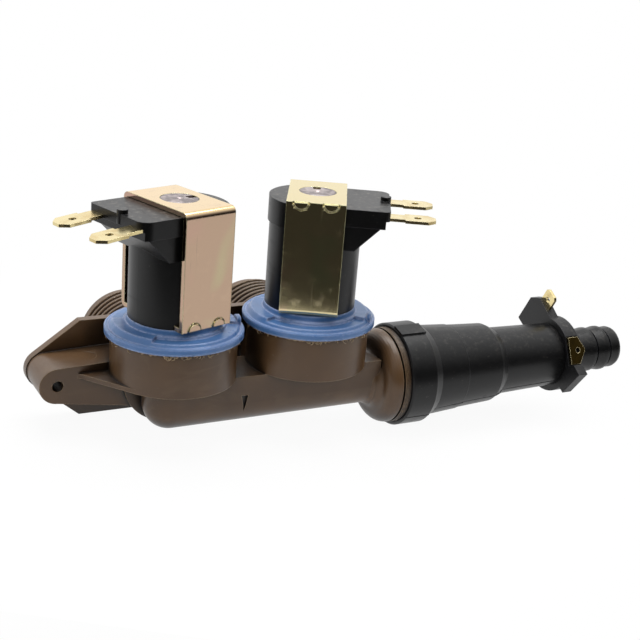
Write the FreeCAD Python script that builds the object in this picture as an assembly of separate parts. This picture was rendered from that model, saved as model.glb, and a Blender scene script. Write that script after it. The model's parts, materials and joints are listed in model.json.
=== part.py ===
# Washing machine inlet valve: two solenoid valves on one moulded body, with a hose outlet
# that carries a temperature sensor. Millimetres.
#
# Origin: on the rear face of the bracket plate, midway between the two inlets, at their axis.
# +X runs to the hose outlet, +Y out of the inlets towards the supply hoses, +Z up the coils.
import os
from math import atan2, cos, hypot, pi, radians, sin, sqrt

import FreeCAD, Part

from FreeCAD import Vector as V

# Inlets
INLET_SPACING = 38.0        # between the two inlet axes, and the two coils in front of them
INLET_LENGTH = 21.5         # rear face of the bracket to the hose's sealing face
THREAD_R = 13.45            # crest of the garden hose thread, 26.9 mm across
THREAD_DEPTH = 1.15
THREAD_PITCH = 2.209
THREAD_TURNS = 6.5
THREAD_CREST = 0.7          # width of the ridge at its crest
THREAD_FOOT = 1.9           # and at its foot
THREAD_SINK = 0.15          # foot below the spout's surface
THREAD_LEAD = 1.8           # hose's sealing face to the end of the ridge
MOUTH_CHAMFER = 0.5
INLET_BORE_R = 9.75
SCREEN_POCKET = 13.0        # depth of the wide bore that holds the screen
WASHER_R = 7.5
WASHER_T = 3.2
WASHER_EASE = 0.1           # room round the flow washer
WASHER_LEDGE = 1.5          # width of the ledge that it lies on
WASHER_HOLE_R = 2.2
WASHER_DISH_R = 4.6
WASHER_DISH = 0.9
SCREEN_EASE = 0.1           # screen inside its bore
SCREEN_FLANGE = 1.6
SCREEN_FLANGE_DROP = 0.9    # screen's flange below the hose's sealing face
SCREEN_MOUTH = 1.3          # width of the flange's flat
SCREEN_STEP = 1.4           # flange beyond the cup
SCREEN_NECK = 0.6           # slope from the flange to the cup
SCREEN_TAPER = 1.2          # cup narrower at its end
SCREEN_WALL = 1.0
SCREEN_SHORT = 1.0          # cup's end above the washer
SCREEN_SLOTS = 8            # round the cup
SCREEN_SLOT_WIDTH = 2.0
SCREEN_SLOT_START = 3.4     # below the flange's face
SCREEN_SLOT_END = 2.2       # above the cup's end
SCREEN_GAP = 1.4            # slots in the cup's end
SCREEN_GAP_PITCH = 3.0
SCREEN_GAP_LENGTH = 8.4
PASSAGE_END = 2.0           # bracket's rear face to the passage's front end
NECK_R = 11.8               # inlet neck in front of the bracket
DUCT_WIDTH = 9.0
DUCT_TOP = 9.0              # above the inlet axis, so that it breaks into the ring chamber
DUCT_BOTTOM = 3.0
DUCT_START = 1.0            # in front of the bracket's rear face
DUCT_REACH = 2.0            # past the ring chamber's outer wall

# Bracket
PLATE_T = 2.4
PLATE_HALF_HEIGHT = 13.2
PLATE_SHOULDER = 19.6       # left inlet axis to the corner where the plate tapers
PLATE_RIGHT = 17.0          # right inlet axis to the plate's right edge
TIP_X = 28.7                # left inlet axis to the screw hole
TIP_R = 5.0
TIP_RISE = 0.6              # screw hole above the inlet axis
BOSS_R = 4.7
BOSS_LENGTH = 11.8          # in front of the plate
SCREW_R = 1.45              # pilot hole for a self-tapping screw
ARM_WALL = 2.4
ARM_PAST = 2.0              # past the manifold's left end
ARM_TOP = 6.3               # shelf above the inlet axis, at the chamber; it meets the boss's top
ARM_LOW_LEFT = 4.1          # arm's lower edge below the axis, at the screw boss
ARM_LOW_RIGHT = 7.6         # and at the chamber
MARK_R = 2.9                # round ejector mark on the shelf
MARK_DEPTH = 0.3
MARK_PAST = 0.4             # left of the plate's shoulder
MARK_FALL = 0.3             # the shelf's slope from the chamber to the mark
FIN_T = 1.2                 # web flush with the chamber's floor
FIN_REACH = 23.6

# Valve chambers
CHAMBER_SETBACK = 18.8      # bracket's rear face to the chamber axes
CHAMBER_R = 16.2
CHAMBER_HEIGHT = 11.9
RIM_HEIGHT = 14.3           # chamber rim above the inlet axis
CHAMBER_WALL = 2.2
FLOOR_T = 1.9
LEDGE_DEPTH = 4.6           # rim to the ledge that the diaphragm's bead lies on
LEDGE_WIDTH = 1.8
SEAT_R = 6.6
SEAT_BORE_R = 4.9
SEAT_DEPTH = 4.2            # rim to the top of the valve seat
PORT_REACH = 2.0            # below the chamber's floor, into the manifold

# Outlet manifold and its flange
OUTLET_DROP = 5.1           # outlet axis below the inlet axis
MANIFOLD_R = 6.86
MANIFOLD_BORE_R = 5.0
MANIFOLD_LEFT = 7.8         # left chamber axis to the rounded end
MANIFOLD_LEDGE = 2.4        # flat top of the manifold above the inlet axis
DIMPLE_X = 17.6             # left chamber axis to the small dimple in front
DIMPLE_WIDTH = 1.8
DIMPLE_TOP = 2.2            # above the outlet axis
DIMPLE_FOOT = 2.4           # below it
DIMPLE_DEPTH = 0.8
BELL_X = 19.0               # right chamber axis to the start of the flange
BELL_R = 13.4
BELL_DEPTH = 5.7            # start of the flange to its rim
BELL_RIM = 4.1              # width of the rim
BELL_FILLET = 2.0           # hollow between the manifold and the bell's bulge
BELL_BULGE = 3.8            # quarter round behind the rim
BELL_GROOVE = 0.5           # width of the groove between bulge and rim
BELL_GROOVE_DEPTH = 0.9
BELL_EASE = 0.2             # bulge below the rim
BELL_RIDGE = 0.4            # pitch of the fine ridges on the rim
BELL_RIDGE_START = 0.25
BELL_RIDGE_DEPTH = 0.2
BELL_RIDGES = 4
SPIGOT_CHAMFER = 0.8
SPIGOT_R = 8.0
SPIGOT_LENGTH = 11.0
SEAL_GROOVE = 1.65
SEAL_INSET = 4.2            # flange face to the seal
SEAL_SIDE = 0.275           # groove beyond the seal, each side
SEAL_EASE = 0.02
SEAL_FACETS = 12

# Guide covers
COVER_R = 17.7
COVER_RIM = 1.4
COVER_LIP = 0.8             # width of the rim's flat
COVER_LIP_HEIGHT = 0.3
COVER_SLOPE = 1.1           # steep shoulder inside the rim, across
COVER_SKIRT = 2.2
WELD_GAP = 0.1              # skirt inside the chamber
COVER_ROOF = 1.5
COVER_RING_HEIGHT = 1.7     # flat ring above the rim
COVER_STEP = 0.7            # two sectors of the ring lie lower
COVER_STEP_IN = 13.0
COVER_STEP_SPAN = 111.0
COVER_STEP_START = -131.0
COVER_TURNS = (0.0, -29.0)  # each lid as it was turned home
COVER_BOSS_R = 12.4
COIL_SEAT = 4.6             # cover rim's underside to the seat of the yoke
TUBE_BORE_R = 4.2
TUBE_WALL = 0.9
TUBE_TOP = 23.6
TUBE_NOSE = 0.6             # chamfer at the tube's closed end
TUBE_END = 1.0
LUG_ANGLE = -9.0            # tool lug on the rim
LUG_WIDTH = 3.4
LUG_HEIGHT = 2.3
LUG_T = 1.1

# Diaphragm, armature and spring
BEAD_T = 2.3
BEAD_EASE = 0.15            # bead inside the chamber's wall
BEAD_INSET = 0.1            # bead wider than its ledge
WEB_T = 0.8
WEB_RISE = 0.7              # bead's underside to the web
WEB_FOLD = 1.1
WEB_FOLD_HALF = 0.8
WEB_FOLD_SLOPE = 0.5
WEB_ROUND = 0.6             # bead to web
DISC_SLOPE = 0.3
DISC_R = 6.9
DISC_T = 1.8
INSERT_R = 5.4
INSERT_STEM_R = 2.3
INSERT_STEM = 2.4           # below the rubber disc
INSERT_HEAD = 1.0
INSERT_CHAMFER = 0.3
NOZZLE_R = 1.3
NOZZLE_FOOT = 0.4           # wider at its foot
NOZZLE_HEIGHT = 0.6
PILOT_R = 0.55
BLEED_R = 0.35
BLEED_PLACE = 0.9           # outside the valve seat
PAD_R = 2.2
PAD_T = 2.6
PAD_PROUD = 0.5
ARMATURE_R = 3.9
STOP_GAP = 0.3              # plunger below the tube's end when it is lifted
ARMATURE_POCKET_R = 2.6
ARMATURE_POCKET = 6.0
ARMATURE_GROOVE = 0.7
ARMATURE_GROOVE_WIDTH = 1.2
STROKE = 2.2
REST_GAP = 0.3              # pad above the pilot nozzle at rest
SPRING_R = 2.0              # centre line of the wire
SPRING_WIRE_R = 0.22
SPRING_TURNS = 6.0
SPRING_FACETS = 6
SPRING_GAP = 0.2            # above the bottom of the plunger's pocket

# Coils
YAWS = (196.9, -28.6)       # which way each coil's terminals point, about +Z from +X
DROOPS = (5.0, 0.0)         # the left coil's terminals are bent down a little
COIL_FLAT = 0.8             # depth of the flats that the yoke's legs lie against
COIL_BAND_RISE = 0.5
COIL_BAND = 6.6             # height of the wider band at the top
YOKE_T = 1.2
YOKE_WIDTH = 15.1
YOKE_HEIGHT = 30.1
YOKE_BEND_R = 1.6
YOKE_FIT = 0.1              # round the guide tube
COIL_PLAY = 0.1             # coil case inside its yoke
BLOCK_EASE = 0.25           # terminal block inside the yoke, each side
BLOCK_REACH = 18.8
BLOCK_T = 4.6
BLOCK_CORNER_A = 1.2        # radii of the two outer corners
BLOCK_CORNER_B = 3.0
BLOCK_UNDERCUT = 1.0        # end face below the terminals, behind the lip above them
GUSSET_DROP = 6.4
GUSSET_INSET = 0.6
GUSSET_SINK = 0.1           # into the block
GUSSET_END = 1.0            # before the block's end face
GUSSET_FOOT = 1.6           # inside the case's round
LATCH_R = 1.35              # round stud on top of the block
LATCH_INSET = 1.1           # its axis inside the block's end face
LATCH_Y = 1.1
LATCH_RISE = 1.1
LATCH_DEPTH = 2.4
BOBBIN_BORE_R = 5.3
BOBBIN_WALL = 0.9
BOBBIN_END = 0.8            # moulding above and below the bobbin's flanges
WINDING_T = 3.5
WINDING_EASE = 0.6          # winding inside the flanges' edge
COIL_SKIN = 0.9             # moulding over the bobbin's flanges, at the yoke
BOBBIN_FLANGE = 1.1
CORE_R = 4.85
CORE_GAP = 0.1              # core above the guide tube's closed end
CORE_CHAMFER = 0.4
CORE_SLOT = 2.0
CORE_SLOT_DEPTH = 2.6
CORE_TURNS = (13.0, 67.0)   # direction of each notch, about +Z from +X
CORE_DIMPLE_R = 0.9
CORE_DIMPLE = 0.5
LOBE_R = 1.75               # staked lobes at the yoke's joint
LOBE_RISE = 0.1             # their centres inside the yoke's end
LOBE_GROOVE = 0.4
LOBE_PROUD = 0.3
LOBE_CLIP = 0.15            # lobes inside the yoke's outer faces

# Terminals: quarter-inch tabs
TAB_WIDTH = 6.35
TAB_T = 0.8
TAB_PITCH = 15.0
TAB_TIP = 30.4              # coil axis to the tip
TAB_SHOULDER = 22.6
TAB_NECK = 4.6
TAB_CHAMFER = 1.9
TAB_HOLE_R = 0.95
TAB_HOLE = 4.6              # tip to the hole
TAB_ROOT = 13.4
TAB_DROP = 2.15             # below the block's top face
TAB_LAP = 0.05              # straight part in front of the block, before the bend

# Outlet housing, by distance from the right chamber's axis
COLLAR_X = 26.5
COLLAR_R = 14.46
COLLAR_LENGTH = 8.5
COLLAR_FIT = 0.1            # around the flange's rim
COLLAR_CHAMFER = 0.4
COLLAR_EDGE = 0.8           # rounded edge at the barrel's side
COLLAR_EDGE_DROP = 0.5
COLLAR_SLOPE = 2.0          # collar's end to the barrel
FLANGE_GAP = 0.05           # between the body's flange and the housing's seat
SPIGOT_GAP = 0.6            # end of the spigot to the socket's floor
SOCKET_FLOOR = 1.5
SOCKET_LIP = 1.5            # width of the socket's floor
SOCKET_EASE = 0.3           # wall thicker behind the socket
BARREL_R0 = 12.9
BARREL_R1 = 12.3
BARREL_LENGTH = 9.3
MIDDLE_STEP = 0.2           # steep step down to the middle part
MIDDLE_R0 = 12.1
MIDDLE_R1 = 11.5
MIDDLE_LENGTH = 12.6
SHOULDER_LENGTH = 2.3
SHOULDER_LEAD = 0.6
SHOULDER_EDGE = 0.5
PIPE_R0 = 9.9
PIPE_R1 = 9.33
PIPE_LENGTH = 20.9
HOUSING_WALL = 2.2
PIPE_BORE_R = 5.4
PIPE_BORE_START = 1.0       # past the pipe's start
PIPE_BORE_END = 2.0         # before its end
STUB_R = 6.9                # plain length that carries the sensor carrier
STUB_LENGTH = 8.7
BARB_R = 6.75
BARB_ROOT_R = 6.2           # each band rises from here to its edge
BARB_VALLEY_R = 5.7
BARB_TIP_R = 6.3
BARB_BORE_R = 4.2
BARB_GROOVES = 2
BARB_PITCH = 4.9
BARB_NECK = 5.6
BARB_GROOVE = 0.9
BARB_LEAD = 0.6             # slope at the start
BARB_CREST = 0.9            # flat at each band's edge
BARB_DROP = 0.2             # length of the drop behind the edge
BARB_RISE = 0.1             # and of the rise out of the groove
BARB_NOSE = 1.2             # rounded tip, its length, its middle and its depths
BARB_NOSE_MIDDLE = 0.4
BARB_NOSE_EASE = 0.3
BARB_NOSE_DROP = 0.9
KEY_LENGTH = 7.8
KEY_WIDTH = 4.5
KEY_RISE = 0.4              # above the collar
KEY_PAST = -0.6             # past the collar's end
KEY_ANGLE = 13.4            # turned from the top towards the front
SOCKET_FIT = 0.12

# Sensor carrier: a plate across the pipe, off centre to it, with a round hub
CARRIER_FIT = 0.05
CARRIER_GAP = 0.1           # from the pipe's shoulder
HUB_R = 11.2
HUB_LENGTH = 4.4
BAR_T = 3.1
BAR_ANGLE = 30.0            # long direction about +X, from +Y
BAR_BACK = 16.7             # pipe axis to the upper rear end
BAR_FRONT = 14.3
BAR_ABOVE = 10.1            # pipe axis to the long edge that faces up, at the back
BAR_ABOVE_FRONT = 7.5
BAR_BELOW = 2.5
BAR_CHAMFER = 3.2
BAR_TAPER = 1.3             # front end leans in by this much at its foot
SENSOR_ANGLE = 71.0         # direction of the probe
SENSOR_TAB_T = 0.8
UPPER_TAB_PLACE = 11.5      # pipe axis to the upper terminal, along the bar
UPPER_TAB_WIDTH = 4.75
UPPER_TAB_ROOT = 5.5        # across the bar, from the pipe's axis
UPPER_TAB_HOLE = 11.5
UPPER_TAB_TIP = 14.2
UPPER_TAB_CHAMFER = 0.7
LOWER_TAB_ANGLE = 155.5     # way that the lower terminal faces
LOWER_TAB_FLOOR = 10.2      # pipe axis to its underside
LOWER_TAB_WIDTH = 8.0
LOWER_TAB_BACK = 0.5        # carrier's rear face to the terminal's bend
LOWER_TAB_SHOULDER = 3.8    # and to where it starts to narrow
LOWER_TAB_TIP = 5.95
LOWER_TAB_POINT = 0.8       # width at the tip
LOWER_TAB_HOLE = 2.5        # tip to the hole
LOWER_TAB_LEG = 4.0         # width of the leg in the carrier
LOWER_TAB_LEG_END = 7.5     # pipe axis to the leg's end
LOWER_TAB_EASE = 0.3        # flat on the carrier beside the terminal
SENSOR_TAB_HOLE_R = 0.8
PROBE_R = 1.9
PROBE_TOP = 8.6
PROBE_TIP = 2.6
PROBE_FIT = 0.15            # hole in the pipe's wall
PROBE_SEAT = 0.1            # carrier's hole above the probe

# Worked out from the sizes above, and the overshoot of cutting tools
CUT = 1.0
OVERLAP = 1.0               # one form into the next, before they are fused
LEFT_X = -INLET_SPACING / 2
RIGHT_X = INLET_SPACING / 2
CHAMBERS = (LEFT_X, RIGHT_X)
AXIS_Y = -CHAMBER_SETBACK
FLOOR_Z = RIM_HEIGHT - CHAMBER_HEIGHT
FLANGE_FACE = BELL_X + BELL_DEPTH + BELL_RIM
WINDING_R = BOBBIN_BORE_R + BOBBIN_WALL + WINDING_T
BOBBIN_FLANGE_R = WINDING_R + WINDING_EASE
COIL_HALF_DEPTH = BOBBIN_FLANGE_R + COIL_SKIN
COIL_R = COIL_HALF_DEPTH + COIL_FLAT
COIL_BAND_R = COIL_R + COIL_BAND_RISE
YOKE_DEPTH = 2 * (COIL_HALF_DEPTH + COIL_PLAY + YOKE_T)
BARREL_X = COLLAR_X + COLLAR_LENGTH + COLLAR_SLOPE
MIDDLE_X = BARREL_X + BARREL_LENGTH
SHOULDER_X = MIDDLE_X + MIDDLE_LENGTH
PIPE_X = SHOULDER_X + SHOULDER_LENGTH
STUB_X = PIPE_X + PIPE_LENGTH
BARB_X = STUB_X + STUB_LENGTH
BARB_END = BARB_X + BARB_NECK + BARB_GROOVES * BARB_PITCH
ARMATURE_Z = -SEAT_DEPTH + DISC_T + INSERT_HEAD + NOZZLE_HEIGHT + REST_GAP + PAD_PROUD
SPRING_TOP = TUBE_TOP - TUBE_END
ARMATURE_LENGTH = SPRING_TOP - STROKE - STOP_GAP - ARMATURE_Z
SPRING_BOTTOM = ARMATURE_Z + ARMATURE_LENGTH - ARMATURE_POCKET + SPRING_GAP
YOKE_TOP = COIL_SEAT + YOKE_HEIGHT
COIL_TOP = YOKE_TOP - YOKE_T - COIL_PLAY
COIL_BOTTOM = COIL_SEAT + YOKE_T + COIL_PLAY
BLOCK_WIDTH = 2 * (COIL_HALF_DEPTH - BLOCK_EASE)
LATCH_X = BLOCK_REACH - LATCH_INSET
SCREEN_R = INLET_BORE_R - SCREEN_EASE


def cyl(r, h, at=(0, 0, 0), along=(0, 0, 1)):
    return Part.makeCylinder(r, h, V(*at), V(*along))


def box(x0, x1, y0, y1, z0, z1):
    return Part.makeBox(x1 - x0, y1 - y0, z1 - z0, V(x0, y0, z0))


def fuse(shapes):
    shapes = list(shapes)
    return shapes[0].multiFuse(shapes[1:]).removeSplitter()


def prism(points, along):
    # A closed polygon of 3-D points, pushed along a vector.
    pts = [V(*p) for p in points]
    return Part.Face(Part.makePolygon(pts + pts[:1])).extrude(V(*along))


def turned(profile):
    # Revolves a closed (radius, height) profile about Z.
    pts = [V(r, 0, z) for r, z in profile]
    return Part.Face(Part.makePolygon(pts + pts[:1])).revolve(V(), V(0, 0, 1), 360)


def turned_x(profile, x, y, z):
    # Revolves a closed (x, radius) profile about an axis along +X.
    pts = [V(a, 0, r) for a, r in profile]
    solid = Part.Face(Part.makePolygon(pts + pts[:1])).revolve(V(), V(1, 0, 0), 360)
    solid.translate(V(x, y, z))
    return solid


def rounded_rect(width, height, r):
    # Outline in XY, centred, with arcs at its corners.
    a, b = width / 2, height / 2
    edges = []
    corners = ((a - r, b - r, 0), (-a + r, b - r, 90), (-a + r, -b + r, 180), (a - r, -b + r, 270))
    arcs = [Part.ArcOfCircle(Part.Circle(V(x, y, 0), V(0, 0, 1), r), radians(t), radians(t + 90))
            for x, y, t in corners]
    for i, arc in enumerate(arcs):
        edges.append(arc.toShape())
        edges.append(Part.makeLine(arc.EndPoint, arcs[(i + 1) % 4].StartPoint))
    return Part.Wire(Part.__sortEdges__(edges))


def placed(shape, x, yaw=0.0):
    # From a chamber's own frame, with Z = 0 at its rim, to its place on the body.
    out = shape.copy()
    out.rotate(V(), V(0, 0, 1), yaw)
    out.translate(V(x, AXIS_Y, RIM_HEIGHT))
    return out


def bracket_plate():
    # Plate behind the chambers, tapering at the left to a rounded tip with a screw hole.
    top = PLATE_HALF_HEIGHT
    x0 = LEFT_X - PLATE_SHOULDER
    tip = V(LEFT_X - TIP_X, 0, TIP_RISE)

    def tangent(z, sign):
        # Point where the line from the shoulder touches the tip's circle.
        dx, dz = tip.x - x0, tip.z - z
        d = hypot(dx, dz)
        a = atan2(dz, dx) + sign * pi - sign * (pi / 2 - atan2(TIP_R, sqrt(d * d - TIP_R ** 2)))
        return V(tip.x + TIP_R * cos(a), 0, tip.z + TIP_R * sin(a))

    up, low = tangent(top, -1), tangent(-top, 1)
    left = V(tip.x - TIP_R, 0, tip.z)
    right = RIGHT_X + PLATE_RIGHT
    edges = [Part.makeLine(V(x0, 0, top), up), Part.Arc(up, left, low).toShape(),
             Part.makeLine(low, V(x0, 0, -top)), Part.makeLine(V(x0, 0, -top), V(right, 0, -top)),
             Part.makeLine(V(right, 0, -top), V(right, 0, top)), Part.makeLine(V(right, 0, top), V(x0, 0, top))]
    return Part.Face(Part.Wire(Part.__sortEdges__(edges))).extrude(V(0, -PLATE_T, 0))


def bracket_arm():
    # Screw boss and the hollow arm that joins it to the left chamber, open underneath.
    front = -PLATE_T - BOSS_LENGTH
    tip_x = LEFT_X - TIP_X
    boss = cyl(BOSS_R, BOSS_LENGTH + PLATE_T / 2, (tip_x, front, TIP_RISE), (0, 1, 0))
    right = LEFT_X - MANIFOLD_LEFT + ARM_PAST
    left_top = TIP_RISE + BOSS_R
    face = prism([(tip_x, front, left_top), (right, front, ARM_TOP), (right, front, -ARM_LOW_RIGHT),
                  (tip_x, front, -ARM_LOW_LEFT)], (0, ARM_WALL, 0))
    shelf = prism([(tip_x, front, left_top), (right, front, ARM_TOP), (right, front, ARM_TOP - ARM_WALL),
                   (tip_x, front, left_top - ARM_WALL)], (0, BOSS_LENGTH + PLATE_T / 2, 0))
    fin_z = FLOOR_Z
    # The web's front edge is tangent to the chamber, seen from above.
    sx, sy = LEFT_X - FIN_REACH, front
    dx, dy = LEFT_X - sx, AXIS_Y - sy
    d = hypot(dx, dy)
    a = atan2(-dy, -dx) + atan2(sqrt(d * d - CHAMBER_R ** 2), CHAMBER_R)
    touch = (LEFT_X + CHAMBER_R * cos(a), AXIS_Y + CHAMBER_R * sin(a))
    fin = prism([(sx, sy, fin_z), (touch[0], touch[1], fin_z), (LEFT_X, AXIS_Y, fin_z),
                 (LEFT_X, front, fin_z)], (0, 0, FIN_T))
    return [boss, face, shelf, fin]


def thread_ridge(x):
    # Garden hose thread: one ridge wound round the spout.
    root = THREAD_R - THREAD_DEPTH
    foot, crest = THREAD_FOOT / 2, THREAD_CREST / 2
    low = root - THREAD_SINK
    section = [V(low, 0, -foot), V(THREAD_R, 0, -crest), V(THREAD_R, 0, crest), V(low, 0, foot)]
    length = THREAD_TURNS * THREAD_PITCH
    path = Part.Wire(Part.makeHelix(THREAD_PITCH, length, root))
    ridge = path.makePipeShell([Part.makePolygon(section + section[:1])], True, True)
    ridge.translate(V(0, 0, INLET_LENGTH - THREAD_LEAD - foot - length))
    ridge.rotate(V(), V(1, 0, 0), -90)
    ridge.translate(V(x, 0, 0))
    return ridge


def inlet(x):
    # Spout for the supply hose behind the bracket, with the neck that leads into the chamber.
    root = THREAD_R - THREAD_DEPTH
    c = MOUTH_CHAMFER
    spout = turned([(0, -PLATE_T), (root, -PLATE_T), (root, INLET_LENGTH - c), (root - c, INLET_LENGTH),
                    (0, INLET_LENGTH)])
    spout.rotate(V(), V(1, 0, 0), -90)
    spout.translate(V(x, 0, 0))
    neck = cyl(NECK_R, CHAMBER_SETBACK - PLATE_T / 2 - MANIFOLD_R / 2, (x, -PLATE_T / 2, 0), (0, -1, 0))
    return [spout, neck]


def inlet_bore(x):
    pocket = cyl(INLET_BORE_R, SCREEN_POCKET, (x, INLET_LENGTH, 0), (0, -1, 0))
    washer_y = INLET_LENGTH - SCREEN_POCKET
    washer = cyl(WASHER_R, WASHER_T + WASHER_EASE, (x, washer_y, 0), (0, -1, 0))
    end = washer_y - WASHER_T - WASHER_EASE
    passage = cyl(WASHER_R - WASHER_LEDGE, end + PASSAGE_END, (x, end, 0), (0, -1, 0))
    reach = AXIS_Y + CHAMBER_R - CHAMBER_WALL - LEDGE_WIDTH - DUCT_REACH
    duct = box(x - DUCT_WIDTH / 2, x + DUCT_WIDTH / 2, reach, -DUCT_START, -DUCT_BOTTOM, DUCT_TOP)
    return [pocket, washer, passage, duct]


def chamber_cavity(x):
    wide = CHAMBER_R - CHAMBER_WALL
    ring = wide - LEDGE_WIDTH
    deep = CHAMBER_HEIGHT - FLOOR_T
    cavity = turned([(SEAT_R, -deep), (ring, -deep), (ring, -LEDGE_DEPTH), (wide, -LEDGE_DEPTH),
                     (wide, CUT), (0, CUT), (0, -SEAT_DEPTH), (SEAT_R, -SEAT_DEPTH)])
    port = cyl(SEAT_BORE_R, CHAMBER_HEIGHT + PORT_REACH, (0, 0, -CHAMBER_HEIGHT - PORT_REACH))
    return [placed(cavity, x), placed(port, x)]


def manifold():
    x0, x1 = LEFT_X - MANIFOLD_LEFT + MANIFOLD_R, RIGHT_X + BELL_X + OVERLAP
    z = -OUTLET_DROP
    tube = cyl(MANIFOLD_R, x1 - x0, (x0, AXIS_Y, z), (1, 0, 0))
    end = Part.makeSphere(MANIFOLD_R, V(x0, AXIS_Y, z))
    top = box(x0, x1, AXIS_Y - MANIFOLD_R, AXIS_Y + MANIFOLD_R, z, MANIFOLD_LEDGE)
    stem = cyl(MANIFOLD_R, MANIFOLD_LEDGE - z, (x0, AXIS_Y, z))
    return [tube, end, top, stem]


def arc_points(a, r, radius, start, end, steps=8):
    # Points on an arc in a profile, about the centre (a, r).
    turns = [radians(start + (end - start) * i / steps) for i in range(steps + 1)]
    return [(a + radius * cos(t), r + radius * sin(t)) for t in turns]


def outlet_flange():
    # Bell behind the housing's collar: a hollow, a bulge, a groove and the ridged rim.
    face = FLANGE_FACE - BELL_X
    groove = face + SEAL_INSET
    half = (SEAL_GROOVE + 2 * SEAL_SIDE) / 2
    bulge_end = BELL_DEPTH - BELL_GROOVE
    bulge_r = BELL_R - BELL_EASE - BELL_BULGE
    start = bulge_end - BELL_BULGE
    floor = BELL_R - BELL_GROOVE_DEPTH
    pts = [(-BELL_FILLET, 0), (-BELL_FILLET, MANIFOLD_R - OVERLAP / 2)]
    pts += arc_points(start - BELL_FILLET, bulge_r, BELL_FILLET, -90, 0, 5)
    pts += arc_points(bulge_end, bulge_r, BELL_BULGE, 180, 90)[1:]
    pts += [(bulge_end, floor), (BELL_DEPTH, floor), (BELL_DEPTH, BELL_R)]
    for i in range(BELL_RIDGES):
        x = BELL_DEPTH + BELL_RIDGE_START + i * BELL_RIDGE
        pts += [(x, BELL_R), (x + BELL_RIDGE / 4, BELL_R - BELL_RIDGE_DEPTH), (x + BELL_RIDGE / 2, BELL_R)]
    pts += [(face, BELL_R), (face, SPIGOT_R), (groove - half, SPIGOT_R), (groove - half, SPIGOT_R - SEAL_GROOVE),
            (groove + half, SPIGOT_R - SEAL_GROOVE), (groove + half, SPIGOT_R),
            (face + SPIGOT_LENGTH - SPIGOT_CHAMFER, SPIGOT_R),
            (face + SPIGOT_LENGTH, SPIGOT_R - SPIGOT_CHAMFER), (face + SPIGOT_LENGTH, 0)]
    return turned_x(pts, RIGHT_X + BELL_X, AXIS_Y, -OUTLET_DROP)


def valve_body():
    parts = [bracket_plate(), *bracket_arm(), *manifold(), outlet_flange()]
    cuts = []
    for x in CHAMBERS:
        parts.append(placed(cyl(CHAMBER_R, CHAMBER_HEIGHT, (0, 0, -CHAMBER_HEIGHT)), x))
        parts += inlet(x)
        cuts += chamber_cavity(x) + inlet_bore(x)
    x0 = LEFT_X - MANIFOLD_LEFT + MANIFOLD_R
    length = RIGHT_X + FLANGE_FACE + SPIGOT_LENGTH + CUT - x0
    cuts.append(cyl(MANIFOLD_BORE_R, length, (x0, AXIS_Y, -OUTLET_DROP), (1, 0, 0)))
    cuts.append(Part.makeSphere(MANIFOLD_BORE_R, V(x0, AXIS_Y, -OUTLET_DROP)))
    cuts.append(cyl(SCREW_R, BOSS_LENGTH + PLATE_T + 2 * CUT, (LEFT_X - TIP_X, CUT, TIP_RISE), (0, -1, 0)))
    mark_y = -PLATE_T - BOSS_LENGTH / 2
    mark_z = ARM_TOP - MARK_DEPTH - MARK_FALL
    cuts.append(cyl(MARK_R, 2 * CUT, (LEFT_X - PLATE_SHOULDER - MARK_PAST, mark_y, mark_z)))
    # Small wedge-shaped dimple on the front of the manifold
    dx, dz = LEFT_X + DIMPLE_X, -OUTLET_DROP
    y, half = AXIS_Y - MANIFOLD_R - CUT / 2, DIMPLE_WIDTH / 2
    cuts.append(prism([(dx - half, y, dz + DIMPLE_TOP), (dx + half, y, dz + DIMPLE_TOP), (dx, y, dz - DIMPLE_FOOT)],
                      (0, CUT / 2 + DIMPLE_DEPTH, 0)))
    body = fuse(parts).cut(fuse(cuts)).removeSplitter()
    for x in CHAMBERS:
        body = body.fuse(thread_ridge(x))
    return body


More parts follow.
